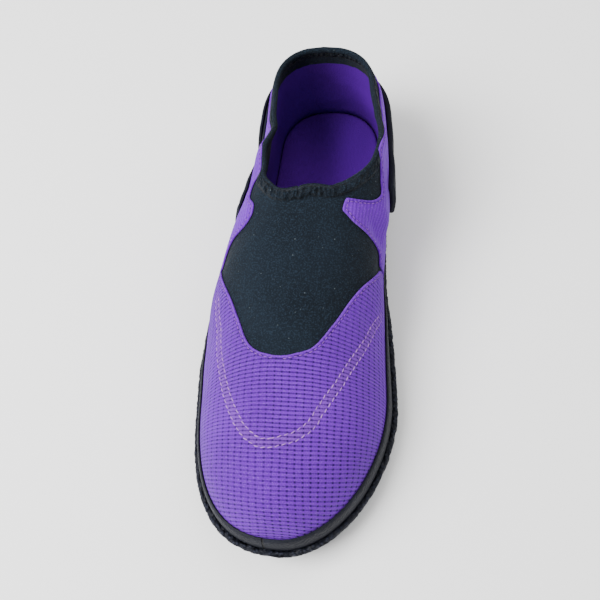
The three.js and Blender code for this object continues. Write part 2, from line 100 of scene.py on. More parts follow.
# Outline of the sole: at is a share of the length from the heel end, centre a share of the ball
# width, and medial and lateral are shares of the width that the row follows
OUTLINE = table(
    "at centre medial lateral width",
    (0.00, 0.065, 0.500, 0.500, HEEL_WIDTH),
    (0.15, 0.065, 0.500, 0.500, HEEL_WIDTH),
    (0.32, 0.045, 0.480, 0.465, WAIST_WIDTH),
    (0.46, 0.016, 0.432, 0.402, BALL_WIDTH),
    (0.55, -0.004, 0.490, 0.455, BALL_WIDTH),
    (0.64, -0.012, 0.503, 0.490, BALL_WIDTH),
    (0.74, -0.010, 0.493, 0.508, BALL_WIDTH),
    (0.86, -0.004, 0.494, 0.505, BALL_WIDTH),
    (1.00, 0.000, 0.500, 0.500, BALL_WIDTH),
)
TOE_REACH_MEDIAL, TOE_POWER_MEDIAL = 0.297 * LENGTH, 2.45
TOE_REACH_LATERAL, TOE_POWER_LATERAL = 0.289 * LENGTH, 1.85
HEEL_REACH, HEEL_POWER = 0.141 * LENGTH, 2.3

# Places along the sole, as shares of the length from the heel end: where the toe's lift starts,
# where the arch starts and how long it is, and where the heel's lift ends
TOE_LIFT_START = 0.727
ARCH_START, ARCH_SPAN = 0.24, 0.34
HEEL_LIFT_END = 0.055

# Sections of the last, as shares of the upper's length, instep height and ball width
SECTIONS = table(
    "at top ridge full bulge_medial bulge_lateral",
    (0.000, 1.220, 0.065, 4.00, -0.014, -0.014),
    (0.120, 1.240, 0.060, 2.90, 0.000, 0.030),
    (0.250, 1.250, 0.050, 2.45, 0.005, 0.085),
    (0.325, 1.205, 0.032, 2.35, 0.030, 0.105),
    (0.375, 1.100, 0.015, 2.28, 0.050, 0.110),
    (0.490, 0.955, -0.010, 2.10, 0.060, 0.070),
    (0.614, 0.820, -0.030, 2.05, 0.010, 0.015),
    (0.715, 0.735, -0.040, 2.10, 0.000, 0.000),
    (0.800, 0.680, -0.035, 2.20, 0.000, 0.000),
    (1.000, 0.620, -0.010, 2.30, 0.000, 0.000),
)

# How far before each end the ribs fan out and how softly, in millimetres, and the gain that
# brings a bulge at the middle of a rib to about the table's share
TOE_FAN = 0.195 * LENGTH
HEEL_FAN = 0.141 * LENGTH
FAN_BLEND = 0.047 * LENGTH
BULGE_GAIN = 1.9

# Side profile of the collar, as shares of the length and the instep height
TOPLINE = table(
    "at top",
    (-0.060, 1.040),
    (0.060, 1.030),
    (0.140, 1.030),
    (0.220, 1.040),
    (0.300, 1.055),
    (0.345, 1.060),
    (0.370, 1.065),
    (0.386, 1.095),
    (0.395, 1.250),
)

# Edge of the toe panel: up runs from the sole line, 0, to the ridge, 1, and at is the station
TOE_EDGE_MEDIAL = table(
    "up at",
    (0.000, 0.500),
    (0.300, 0.503),
    (0.420, 0.508),
    (0.525, 0.541),
    (0.603, 0.574),
    (0.670, 0.615),
    (0.785, 0.668),
    (0.880, 0.688),
    (1.000, 0.699),
)
TOE_EDGE_LATERAL = table(
    "up at",
    (0.000, 0.472),
    (0.250, 0.475),
    (0.323, 0.488),
    (0.420, 0.513),
    (0.525, 0.545),
    (0.610, 0.586),
    (0.693, 0.628),
    (0.820, 0.675),
    (0.935, 0.692),
    (1.000, 0.699),
)

# Edge of the heel panel, from the back of the heel to the side seam. Each column of the panel
# stands on the station base and ends at the station at, as far up as up.
HEEL_EDGE_MEDIAL = table(
    "base at up",
    (0.000, 0.000, 0.300),
    (0.120, 0.120, 0.390),
    (0.220, 0.220, 0.500),
    (0.300, 0.303, 0.600),
    (0.335, 0.338, 0.600),
    (0.361, 0.361, 0.605),
    (0.383, 0.386, 0.620),
    (0.398, 0.404, 0.690),
    (0.412, 0.419, 0.706),
    (0.428, 0.434, 0.688),
    (0.444, 0.446, 0.640),
    (0.462, 0.458, 0.522),
    (0.482, 0.475, 0.440),
    (0.497, 0.499, 0.400),
)
HEEL_EDGE_LATERAL = table(
    "base at up",
    (0.000, 0.000, 0.300),
    (0.120, 0.120, 0.390),
    (0.220, 0.220, 0.500),
    (0.300, 0.301, 0.603),
    (0.320, 0.320, 0.565),
    (0.340, 0.342, 0.520),
    (0.356, 0.359, 0.492),
    (0.370, 0.374, 0.527),
    (0.381, 0.386, 0.585),
    (0.390, 0.394, 0.672),
    (0.398, 0.397, 0.733),
    (0.401, 0.398, 0.752),
    (0.404, 0.402, 0.758),
    (0.412, 0.416, 0.761),
    (0.415, 0.421, 0.757),
    (0.418, 0.424, 0.742),
    (0.430, 0.437, 0.657),
    (0.445, 0.445, 0.500),
    (0.457, 0.453, 0.370),
    (0.469, 0.472, 0.300),
)

# Middle of the heel strap, as shares of the upper's length and the instep height
STRAP_MIDDLE = table(
    "at centre",
    (0.00, 0.52),
    (0.12, 0.53),
    (0.25, 0.58),
    (0.38, 0.66),
)
# Stations of the strap's ends: both fronts, the free end and the end that lies under
STRAP_FRONT_MEDIAL = 0.385
STRAP_FRONT_LATERAL = 0.335
STRAP_TIP = 0.20
STRAP_UNDER = 0.02


def read(rows, along, column, place):
    """Smooth curve through a table: cubic between rows, with each slope that of its neighbours."""
    xs = rows[along]
    ys = rows[column] * rows["width"] if column in ("medial", "lateral") else rows[column]
    slopes = np.empty_like(ys)
    slopes[1:-1] = (ys[2:] - ys[:-2]) / (xs[2:] - xs[:-2])
    slopes[0] = (ys[1] - ys[0]) / (xs[1] - xs[0])
    slopes[-1] = (ys[-1] - ys[-2]) / (xs[-1] - xs[-2])
    x = np.clip(place, xs[0], xs[-1])
    i = np.clip(np.searchsorted(xs, x, side="right") - 1, 0, len(xs) - 2)
    span = xs[i + 1] - xs[i]
    t = (x - xs[i]) / span
    low = (2 * t**3 - 3 * t**2 + 1) * ys[i] + (t**3 - 2 * t**2 + t) * span * slopes[i]
    return low + (3 * t**2 - 2 * t**3) * ys[i + 1] + (t**3 - t**2) * span * slopes[i + 1]


def rounded(distance, reach, power):
    """Superellipse quarter: 0 at the end itself and 1 from the reach on."""
    gone = np.clip(1 - distance / reach, 0, 1)
    return (1 - gone**power) ** (1 / power)


def outline(s, side, inset):
    """Edge of the sole at s from the heel end: centre plus the side's half width, closed by a
    superellipse at the toe and the heel."""
    at = s / LENGTH
    medial = side < 0
    centre = BALL_WIDTH * read(OUTLINE, "at", "centre", at)
    half = np.where(medial, read(OUTLINE, "at", "medial", at), read(OUTLINE, "at", "lateral", at))
    toe = LENGTH - inset - s
    toe_medial = rounded(toe, TOE_REACH_MEDIAL - inset, TOE_POWER_MEDIAL)
    toe_lateral = rounded(toe, TOE_REACH_LATERAL - inset, TOE_POWER_LATERAL)
    heel = rounded(s - inset, HEEL_REACH - inset, HEEL_POWER)
    return centre + side * (half - inset) * np.where(medial, toe_medial, toe_lateral) * heel


def toe_lift(s):
    """Toe spring times the square of the share of the way from its start to the toe end."""
    start = TOE_LIFT_START * LENGTH
    return TOE_SPRING * np.clip((s - start) / (LENGTH - start), 0, None) ** 2


def sole_bottom(s):
    """Flat at the heel and ball, with a squared sine over the arch and lifts at both ends."""
    arch = np.clip((s / LENGTH - ARCH_START) / ARCH_SPAN, 0, 1)
    heel = np.clip(1 - s / (HEEL_LIFT_END * LENGTH), 0, 1)
    return toe_lift(s) + HEEL_SPRING * heel**2 + ARCH_LIFT * np.sin(np.pi * arch) ** 2


def sole_top(s):
    """Top of the outsole, which thins evenly towards the toe."""
    return toe_lift(s) + SOLE_THICKNESS * (1 - SOLE_THINNING * s / LENGTH)


def softly(x):
    """Softened ramp: the logarithm of one plus the exponential."""
    return np.log1p(np.exp(-np.abs(x))) + np.maximum(x, 0)


def station_of(turn):
    """Station of a place round the shoe: 0 at the heel, 1 at the toe."""
    return (1 - np.cos(np.pi * np.abs(turn))) / 2


def turn_of(station):
    """Place round the shoe of a station, the inverse of station_of."""
    return np.arccos(1 - 2 * np.clip(station, 0, 1)) / np.pi


def places_round(count):
    """Evenly spaced places round the shoe, and the side of each: -1 is medial and 1 is lateral."""
    turns = np.linspace(-1, 1, count + 1)[:-1]
    return turns, np.where(turns < 0, -1.0, 1.0)


def along_sole(turns, inset):
    """Distance from the heel end of places round an outline that is drawn in by an inset."""
    return inset + (LENGTH - 2 * inset) * station_of(turns)


def smooth(share):
    """A share held from 0 to 1 and eased at both ends: three of its square less two of its cube."""
    share = np.clip(share, 0, 1)
    return share**2 * (3 - 2 * share)


def fanned(s):
    """Where along the shoe the rib from s meets the ridge: s itself, held off both ends by a
    softened ramp, so that the last ribs fan out."""
    toe_stop = LENGTH - UPPER_INSET - TOE_FAN
    heel_stop = UPPER_INSET + HEEL_FAN
    held = toe_stop - FAN_BLEND * softly((toe_stop - s) / FAN_BLEND)
    return heel_stop + FAN_BLEND * softly((held - heel_stop) / FAN_BLEND)


def last_point(turn, up):
    """The last. Each rib is a superellipse from the sole line to its place on the ridge, swollen
    by the table's bulge, and the ribs fan out at the toe and heel."""
    turn, up = np.broadcast_arrays(np.asarray(turn, float), np.asarray(up, float))
    turn = (turn + 1) % 2 - 1
    side = np.where(turn < 0, -1.0, 1.0)
    station = station_of(turn)
    s = UPPER_INSET + UPPER_LENGTH * station
    ridge_s = fanned(s)
    ridge_at = (ridge_s - UPPER_INSET) / UPPER_LENGTH
    base_x = outline(s, side, UPPER_INSET)
    base_z = sole_top(s) + CLEARANCE
    ridge_x = BALL_WIDTH * read(SECTIONS, "at", "ridge", ridge_at)
    ridge_z = INSTEP_HEIGHT * read(SECTIONS, "at", "top", ridge_at)
    full = read(SECTIONS, "at", "full", station)
    medial = read(SECTIONS, "at", "bulge_medial", station)
    lateral = read(SECTIONS, "at", "bulge_lateral", station)
    bulge = BALL_WIDTH * np.where(side < 0, medial, lateral)
    angle = np.clip(up, 0, 1) * np.pi / 2
    across = np.clip(np.cos(angle), 0, None) ** (2 / full)
    rise = np.sin(angle) ** (2 / full)
    dx = base_x - ridge_x
    dy = ridge_s - s
    reach = across * (1 + bulge / np.hypot(dx, dy) * BULGE_GAIN * rise)
    y = LENGTH / 2 - ridge_s + dy * reach
    return np.stack([ridge_x + dx * reach, y, base_z + (ridge_z - base_z) * rise], -1)


def up_at(turn, height):
    """How far up a rib a height above the sole line is, from the inverse of its superellipse."""
    station = station_of((turn + 1) % 2 - 1)
    s = UPPER_INSET + UPPER_LENGTH * station
    ridge_s = fanned(s)
    top = INSTEP_HEIGHT * read(SECTIONS, "at", "top", (ridge_s - UPPER_INSET) / UPPER_LENGTH)
    rise = np.clip(height / (top - sole_top(s) - CLEARANCE), 0, 1)
    return np.arcsin(rise ** (read(SECTIONS, "at", "full", station) / 2)) * 2 / np.pi


# Step in turn and up that gives the last's directions as differences, and the highest place on
# a rib whose direction round the shoe is taken
PROBE = 0.004
NEAR_RIDGE = 0.985

# Soft folds of the fabric. Each runs from one place to another, as shares of the length from the
# toe end, with x and z as shares of the ball width and instep height. Width and depth are in
# millimetres, and a depth below 0 is a trough.
FOLDS = table(
    "x0 back0 z0 x1 back1 z1 width depth",
    (0.34, 0.56, 0.80, 0.41, 0.62, 0.40, 5.0, -1.2),
    (0.41, 0.54, 0.62, 0.38, 0.50, 0.42, 4.0, -0.9),
    (-0.26, 0.64, 0.98, -0.38, 0.60, 0.55, 5.0, -1.3),
    (-0.34, 0.52, 0.66, -0.40, 0.46, 0.45, 4.5, -0.8),
    (0.20, 0.44, 0.85, 0.40, 0.40, 0.45, 6.0, -0.7),
    (-0.22, 0.40, 0.80, -0.41, 0.36, 0.40, 6.0, -0.6),
    (0.10, 0.52, 0.98, 0.34, 0.52, 0.80, 5.0, 0.6),
    (-0.08, 0.56, 1.02, -0.30, 0.50, 0.75, 5.0, 0.5),
    (0.38, 0.78, 0.80, 0.42, 0.70, 0.35, 6.0, -0.9),
    (-0.20, 0.80, 0.85, -0.27, 0.72, 0.35, 6.0, -0.8),
    (-0.19, 0.665, 1.10, -0.30, 0.655, 0.80, 4.5, -3.0),
    (-0.17, 0.715, 1.12, -0.30, 0.700, 0.85, 4.5, 2.2),
    (-0.15, 0.765, 1.12, -0.28, 0.750, 0.85, 5.0, -2.4),
    (0.36, 0.700, 1.10, 0.44, 0.680, 0.80, 5.0, -0.9),
    (0.31, 0.590, 0.88, 0.43, 0.560, 0.58, 5.0, -2.8),
    (0.36, 0.620, 0.86, 0.45, 0.590, 0.55, 4.5, 1.2),
    (0.31, 0.640, 1.08, 0.34, 0.780, 1.05, 12.0, 5.0),
)
# Share of a fold's depth that is left at its ends
FOLD_END = 0.35


def relief(points):
    """Sum of folds: each is a Gaussian trough or ridge round its own line segment, faded by a sine
    to a share of its depth at the ends."""
    total = np.zeros(points.shape[:-1])
    scale = np.array([BALL_WIDTH, LENGTH, INSTEP_HEIGHT])
    for x0, back0, z0, x1, back1, z1, width, depth in zip(*FOLDS.values()):
        start = np.array([x0, back0 - 0.5, z0]) * scale
        line = np.array([x1, back1 - 0.5, z1]) * scale - start
        share = np.clip((points - start) @ line / (line @ line), 0, 1)
        away = np.linalg.norm(points - start - share[..., None] * line, axis=-1)
        fade = FOLD_END + (1 - FOLD_END) * np.sin(np.pi * share)
        total += depth * fade * np.exp(-((away / width) ** 2))
    return total


def form_point(turn, up, offset):
    """The last grown outwards along its normal by an offset and the folds. The sole line stays
    level with the sole."""
    turn, up, offset = np.broadcast_arrays(*(np.asarray(v, float) for v in (turn, up, offset)))
    point = last_point(turn, up)
    below = np.minimum(up, NEAR_RIDGE)
    along = last_point(turn + PROBE, below) - last_point(turn - PROBE, below)
    upward = last_point(turn, np.minimum(up + PROBE, 1)) - last_point(turn, np.maximum(up - PROBE, 0))
    normal = np.cross(upward, along)
    foot = up <= 0
    normal[foot, 2] = 0
    normal /= np.linalg.norm(normal, axis=-1, keepdims=True)
    raised = offset + np.where(foot, 0, relief(point))
    point = point + raised[..., None] * normal
    point[..., 2] = np.where(foot, sole_top(LENGTH / 2 - point[..., 1]) + CLEARANCE, point[..., 2])
    return point


def shared_on_ridge(turn, up, offset):
    """form_point, with both sides given the mean of their points on the ridge."""
    here = form_point(turn, up, offset)
    there = form_point(-np.asarray(turn, float), up, offset)
    return np.where((np.asarray(up) >= 1)[..., None], (here + there) / 2, here)


# How a mesh is made from grids of points


def place(points):
    """Millimetres on the foot's own axis to metres in the frame."""
    middle = np.array([(SOLE_LOW[0] + SOLE_HIGH[0]) / 2 + FOOT_MIDDLE_SHIFT, 0, 0])
    return (points - middle) * MM


def middle_of_foot():
    """Mean of the outline's two widest places."""
    turns, side = places_round(64)
    x = outline(along_sole(turns, 0.0), side, 0.0)
    return (x.max() + x.min()) / 2


FOOT_MIDDLE_SHIFT = middle_of_foot() - (SOLE_LOW[0] + SOLE_HIGH[0]) / 2


# Marks of a grid that lies far from any edge, and well inside a seam, in millimetres
UNMARKED = (50.0, -50.0)
# Distances in metres below which two vertices are one, and an edge has no length
SAME_PLACE = 0.00002
NO_LENGTH = 0.00001
# Materials by name, filled by the materials operator before the pieces are made
MATERIALS = {}


class Skin:
    """Gathers grids of points, with a fabric map in millimetres and a material for each."""

    def __init__(self):
        self.points = []
        self.maps = []
        self.marks = []
        self.faces = []
        self.slots = []
        self.count = 0

    def grid(self, points, fabric=None, slot=0, wrap=False, flip=False, marks=None):
        """Adds rows of points as quads. wrap joins the last row to the first, slot is one number
        or one for each quad, and marks are distances from an edge and a seam."""
        rows, columns = points.shape[:2]
        if fabric is None:
            fabric = np.zeros((rows, columns, 2))
        if marks is None:
            marks = np.broadcast_to(UNMARKED, (rows, columns, 2))
        index = np.arange(rows * columns).reshape(rows, columns) + self.count
        if wrap:
            index = np.vstack([index, index[:1]])
        a, b, c, d = index[:-1, :-1], index[1:, :-1], index[1:, 1:], index[:-1, 1:]
        order = (a, d, c, b) if flip else (a, b, c, d)
        quads = np.stack(order, -1).reshape(-1, 4)
        self.points.append(points.reshape(-1, 3))
        self.maps.append(fabric.reshape(-1, 2))
        self.marks.append(marks.reshape(-1, 2))
        self.faces.append(quads)
        self.slots.append(np.broadcast_to(slot, (len(quads),)) if np.ndim(slot) == 0 else slot.ravel())
        self.count += rows * columns
        return self

    def tubes(self, points, slot=0):
        """Adds many tubes at once, each a list of closed rings: tube, ring, place on the ring."""
        tubes, rings, sides = points.shape[:3]
        index = np.arange(tubes * rings * sides).reshape(tubes, rings, sides) + self.count
        beside = np.roll(index, -1, axis=2)
        corners = (index[:, :-1], beside[:, :-1], beside[:, 1:], index[:, 1:])
        quads = np.stack(corners, -1).reshape(-1, 4)
        self.points.append(points.reshape(-1, 3))
        self.maps.append(np.zeros((index.size, 2)))
        self.marks.append(np.broadcast_to(UNMARKED, (index.size, 2)))
        self.faces.append(quads)
        self.slots.append(np.full(len(quads), slot))
        self.count += index.size
        return self

    def piece(self, name, materials, body="root"):
        """Makes the object, with doubles merged, smooth faces and a fabric map."""
        points = place(np.concatenate(self.points))
        quads = np.concatenate(self.faces)
        mesh = bpy.data.meshes.new(name)
        mesh.from_pydata(points, [], quads)
        layer = mesh.uv_layers.new(name="fabric")
        fabric = np.concatenate(self.maps)
        loops = np.empty(len(mesh.loops), np.int32)
        mesh.loops.foreach_get("vertex_index", loops)
        layer.data.foreach_set("uv", (fabric[loops] * MM).ravel())
        mesh.polygons.foreach_set("material_index", np.concatenate(self.slots).astype(np.int32))
        marks = np.concatenate(self.marks)
        for i, mark in enumerate(("edge", "seam")):
            values = mesh.attributes.new(mark, "FLOAT", "POINT")
            values.data.foreach_set("value", np.ascontiguousarray(marks[:, i], np.float32))
        for material in materials:
            mesh.materials.append(material)
        merge(mesh)
        mesh.polygons.foreach_set("use_smooth", np.ones(len(mesh.polygons), bool))
        mesh.update()
        thing = bpy.data.objects.new(name, mesh)
        bpy.context.scene.collection.objects.link(thing)
        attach(thing, body)
        return thing


def merge(mesh):
    """Joins doubled points, drops faces that close up, and turns every face outwards."""
    work = bmesh.new()
    work.from_mesh(mesh)
    bmesh.ops.remove_doubles(work, verts=work.verts, dist=SAME_PLACE)
    bmesh.ops.dissolve_degenerate(work, edges=work.edges, dist=NO_LENGTH)
    bmesh.ops.recalc_face_normals(work, faces=work.faces)
    work.to_mesh(mesh)
    work.free()


# Fabric maps: one thread direction runs across the shoe and the other along it


def centre_profile():
    """Height of the last's middle line at each station along it, and its length from the toe."""
    turns = np.linspace(0, 1, 1500)
    ridge = last_point(turns, 1.0)
    toe = last_point(1.0, np.linspace(1, 0, 400))
    heel = last_point(0.0, np.linspace(0, 1, 400))
    line = np.concatenate([heel, ridge, toe])
    order = np.argsort(line[:, 1])
    y, z = line[order, 1], line[order, 2]
    steps = np.hypot(np.diff(y), np.diff(z))
    steps[np.abs(np.diff(y)) < 1e-6] = 0
    return y, z, np.concatenate([[0], np.cumsum(steps)])


CENTRE_Y, CENTRE_Z, CENTRE_ALONG = centre_profile()

# How much longer the way across the shoe is than its chord, and the bow of the mesh's rows, in
# millimetres along the shoe for each square millimetre across. The bow changes from the toe's to
# that of each side over a stretch measured from the toe.
ARC_GAIN = 1.08
ROW_BOW_TOE = -0.0040
ROW_BOW_MEDIAL = 0.0048
ROW_BOW_LATERAL = 0.0012
BOW_CHANGE_START = 25.0
BOW_CHANGE_LENGTH = 75.0
# Half the way round the outline, as a share of the length
HALF_ROUND = 1.2


def fabric_of(points):
    """Across: the chord from the ridge at the same distance along the shoe, a little lengthened
    to stand for the arc. Along: the length of the middle line from the toe, plus a parabola
    across, whose bow turns over from the toe to the instep."""
    y = points[..., 1]
    top = np.interp(y, CENTRE_Y, CENTRE_Z)
    station = np.clip((LENGTH / 2 - y - UPPER_INSET) / UPPER_LENGTH, 0, 1)
    aside = points[..., 0] - BALL_WIDTH * read(SECTIONS, "at", "ridge", station)
    drop = np.maximum(top - points[..., 2], 0)
    across = np.sign(aside) * np.hypot(aside, drop) * ARC_GAIN
    along = np.interp(y, CENTRE_Y, CENTRE_ALONG)
    back = smooth((along - BOW_CHANGE_START) / BOW_CHANGE_LENGTH)
    bow = np.where(across < 0, ROW_BOW_MEDIAL, ROW_BOW_LATERAL)
    bow = ROW_BOW_TOE + (bow - ROW_BOW_TOE) * back
    return np.stack([across, along + bow * across**2], -1)


def wall_map(turn, points):
    """Map for pieces carried round the shoe: length round the outline and height."""
    length = np.broadcast_to(turn, points.shape[:2]) * LENGTH * HALF_ROUND
    return np.stack([length, points[..., 2]], -1)


# Paths on the last and threads along them

# The toe panel's edge is rounded where it crosses the ridge: from which share of a rib, and how
# tightly
ROUND_FROM = 0.7
RIDGE_ROUND = 0.05


def toe_edge_at(side, up):
    """Station of the toe panel's edge, with up eased by a hyperbola so that the edge crosses the
    ridge level."""
    edge = TOE_EDGE_MEDIAL if side < 0 else TOE_EDGE_LATERAL
    eased_up = 1 + RIDGE_ROUND - np.sqrt((1 - up) ** 2 + RIDGE_ROUND**2)
    share = np.clip((up - ROUND_FROM) / (1 - ROUND_FROM), 0, 1)
    return read(edge, "up", "at", up + share * (eased_up - up))


# Outer row of the toe panel's double stitching. The turn counts from the heel round the medial
# side, so that it is 1 at the toe and more on the lateral side.
SEAM = table(
    "turn up",
    (0.540, 0.425),
    (0.570, 0.440),
    (0.606, 0.478),
    (0.656, 0.557),
    (0.688, 0.620),
    (0.739, 0.703),
    (0.828, 0.785),
    (0.906, 0.818),
    (0.963, 0.838),
    (1.065, 0.848),
    (1.144, 0.823),
    (1.208, 0.785),
    (1.254, 0.743),
    (1.284, 0.720),
    (1.316, 0.670),
    (1.335, 0.623),
    (1.366, 0.542),
    (1.404, 0.417),
    (1.435, 0.312),
    (1.455, 0.225),
)
# From a panel's edge to the stitches along it, and how deep threads lie in the mesh
EDGE_GAP = 1.5
THREAD_DEPTH = 0.28
HEEL_THREAD_DEPTH = 0.25


def seam_path(count):
    """Outer row of the toe panel's double stitching, from the medial side round the toe."""
    turn = np.linspace(SEAM["turn"][0], SEAM["turn"][-1], count)
    return -turn, read(SEAM, "turn", "up", turn)


def toe_edge_path(side, count, top=0.995):
    """Edge of the toe panel on one side, from low on the wall to near the ridge."""
    up = np.linspace(0.2, top, count)
    return side * turn_of(toe_edge_at(side, up)), up


def heel_edge_path(side, count, first=0.3, last=1.0):
    """Upper edge of the heel panel on one side, between two shares of its way from the heel."""
    edge = HEEL_EDGE_MEDIAL if side < 0 else HEEL_EDGE_LATERAL
    base = np.linspace(first, last, count) * edge["base"][-1]
    at = np.maximum(read(edge, "base", "at", base), 0)
    return side * turn_of(at), read(edge, "base", "up", base)


def products(one, two):
    """Dot product of each row of one with the same row of two."""
    return (one * two).sum(axis=1)


def shifted(turn, up, distance):
    """Moves a path sideways on the last: a least squares fit of the step in turn and up to a
    step square to the path."""
    ahead = np.gradient(form_point(turn, up, 0.0), axis=0)
    by_turn = form_point(turn + PROBE, up, 0.0) - form_point(turn - PROBE, up, 0.0)
    by_up = form_point(turn, up + PROBE / 2, 0.0) - form_point(turn, up - PROBE * 1.5, 0.0)
    aside = np.cross(np.cross(by_up, by_turn), ahead)
    aside *= distance / np.linalg.norm(aside, axis=1, keepdims=True)
    a, b, c = products(by_turn, by_turn), products(by_turn, by_up), products(by_up, by_up)
    d, e = products(by_turn, aside), products(by_up, aside)
    area = a * c - b * b
    step = 2 * PROBE / area
    return turn + step * (d * c - e * b), np.clip(up + step * (a * e - b * d), 0.01, 0.999)


# A stitch: rings and sides of its tube, how high its middle arches and how deep its ends sink, as
# shares of the thread's radius, and how single stitches stray, in millimetres sideways and as a
# share of the thickness
THREAD_RINGS = 7
THREAD_SIDES = 8
THREAD_ARCH = 0.9
THREAD_SINK = 0.35
THREAD_STRAY = 0.1
THREAD_UNEVEN = 0.12


def stitch_row(skin, path, offset, length, gap, radius, sway=0.0, slot=0):
    """Rounded threads laid end to end. Each is a tube whose half width is the fourth-power arch
    of its length and whose middle is lifted by a sine, so that its ends go into the fabric."""
    turn, up = path
    line = form_point(turn, up, offset)
    lift = form_point(turn, up, offset + 1.0) - line
    run = np.concatenate([[0], np.cumsum(np.linalg.norm(np.diff(line, axis=0), axis=1))])
    ring = np.linspace(0, 1, THREAD_RINGS)
    at = np.arange(int(run[-1] / (length + gap)))[:, None] * (length + gap) + length * ring
    centre = np.stack([np.interp(at, run, line[:, k]) for k in range(3)], -1)
    lift = np.stack([np.interp(at, run, lift[:, k]) for k in range(3)], -1)
    lift /= np.linalg.norm(lift, axis=-1, keepdims=True)
    ahead = np.gradient(centre, axis=1)
    ahead /= np.linalg.norm(ahead, axis=-1, keepdims=True)
    across = np.cross(lift, ahead)
    random = np.random.default_rng(7)
    lean = random.normal(0, 1, (len(at), 2, 1, 1))
    from_middle = 2 * ring[:, None] - 1
    centre = centre + across * (lean[:, 0] * THREAD_STRAY + sway * from_middle)
    centre = centre + lift * (radius * (THREAD_ARCH * np.sin(np.pi * ring) - THREAD_SINK))[:, None]
    thick = radius * (1 + THREAD_UNEVEN * lean[:, 1]) * (1 - from_middle**4) ** 0.5
    angle = np.arange(THREAD_SIDES) * 2 * np.pi / THREAD_SIDES
    wide = across[:, :, None] * np.cos(angle)[:, None] + lift[:, :, None] * np.sin(angle)[:, None]
    return skin.tubes(centre[:, :, None] + thick[:, :, None] * wide, slot)


# How many of a line's points are measured to in one go
POINTS_AT_ONCE = 40


def distance_to(points, line):
    """Shortest distance from each point of a grid to the points of a line, which is taken in
    short parts to save memory."""
    flat = points.reshape(-1, 3)
    near = np.full(len(flat), np.inf)
    for part in np.array_split(line, max(len(line) // POINTS_AT_ONCE, 1)):
        near = np.minimum(near, np.linalg.norm(flat[:, None] - part, axis=2).min(axis=1))
    return near.reshape(points.shape[:2])


# Pieces

# Size of the sidewall's random grain, which stands in from the outline, in millimetres, and how
# many places a ring has
RAGGED = 0.55
ROUND_COUNT = 640


def build_outsole():
    """Rings of the outline carried from the sidewall's foot to its top, with a tread floor. Each
    ring has an inset, a lift from the sole's bottom (low 1) or top (low 0) and a share of the
    ragged grain, which is random noise averaged over neighbours."""
    turns, side = places_round(ROUND_COUNT)
    profile = table(
        "inset low lift rough",
        (3.2, 1, 0.0, 0),
        (1.9, 1, 0.15, 1),
        (0.9, 1, 0.8, 1),
        (0.25, 1, 1.7, 1),
        (0.0, 1, 2.8, 1),
        (-0.2, 1, 4.0, 1),
        (-0.5, 0, -2.2, 1),
        (-0.7, 0, -1.0, 1),
        (-0.6, 0, 0.0, 1),
        (-0.1, 0, 0.7, 1),
        (1.0, 0, 0.9, 1),
        (1.9, 0, 0.3, 1),
        (2.4, 0, 0.0, 0),
        (4.0, 0, 0.0, 0),
    )
    random = np.random.default_rng(11)
    ragged = random.normal(0, 1, (len(profile["inset"]), len(turns)))
    ragged = (np.roll(ragged, 1, 1) + 2 * ragged + np.roll(ragged, -1, 1)) / 4
    rings = []
    for inset, low, lift, rough, noise in zip(*profile.values(), ragged):
        s = along_sole(turns, inset)
        z = (sole_bottom(s) if low else sole_top(s)) + lift
        x = outline(s, side, inset + RAGGED * rough * np.abs(noise))
        rings.append(np.stack([x, LENGTH / 2 - s, z], -1))
    rings = np.stack(rings, 1)
    skin = Skin().grid(rings, wall_map(turns[:, None], rings), wrap=True)
    skin.grid(tread_floor(profile["inset"][0]))
    skin.grid(lid(profile["inset"][-1], 0.0))
    return skin.piece("outsole_skin", [MATERIALS["sole_rubber"]])


def across_sole(inset, rows, columns):
    """Rows across an inset outline, evenly shared from the medial edge to the lateral one. Gives
    x, y, the distance s from the heel end and the distance in from the nearer edge."""
    s = along_sole(np.linspace(0, 1, rows), inset)[:, None]
    medial = outline(s, np.full_like(s, -1.0), inset)
    lateral = outline(s, np.full_like(s, 1.0), inset)
    x = medial + (lateral - medial) * np.linspace(0, 1, columns)
    return x, np.broadcast_to(LENGTH / 2 - s, x.shape), s, np.minimum(x - medial, lateral - x)


def lid(inset, lift):
    """Cover over an inset outline, a lift above the outsole's top."""
    x, y, s = across_sole(inset, 161, 25)[:3]
    return np.stack([x, y, np.broadcast_to(sole_top(s) + lift, x.shape)], -1)


# Width of the slope beside a tread groove, and of the slope where the grooves end at the border
GROOVE_SLOPE = 1.0
BORDER_SLOPE = 1.2


def tread_floor(inset):
    """Underside: cross grooves with sloping sides, one every pitch and bent at the shoe's middle,
    inside an uncut border."""
    x, y, s, rim = across_sole(inset, 321, 121)
    bent = y + TREAD_GROOVE * (1 - np.abs(x) / (BALL_WIDTH / 2))
    count = math.floor((LENGTH - 2 * TREAD_BORDER) / TREAD_PITCH)
    away = np.abs((bent + (count + 1) / 2 * TREAD_PITCH) % TREAD_PITCH - TREAD_PITCH / 2)
    cut = np.clip((TREAD_GROOVE / 2 + GROOVE_SLOPE / 2 - away) / GROOVE_SLOPE, 0, 1)
    near = np.minimum(rim, np.minimum(s, LENGTH - s)) + inset
    inside = np.clip((near - TREAD_BORDER) / BORDER_SLOPE, 0, 1)
    return np.stack([x, y, sole_bottom(s) + TREAD_DEPTH * cut * inside], -1)


# The band is drawn in, so that the rough sole stands out below it as a ledge
BAND_DRAWN_IN = 0.9


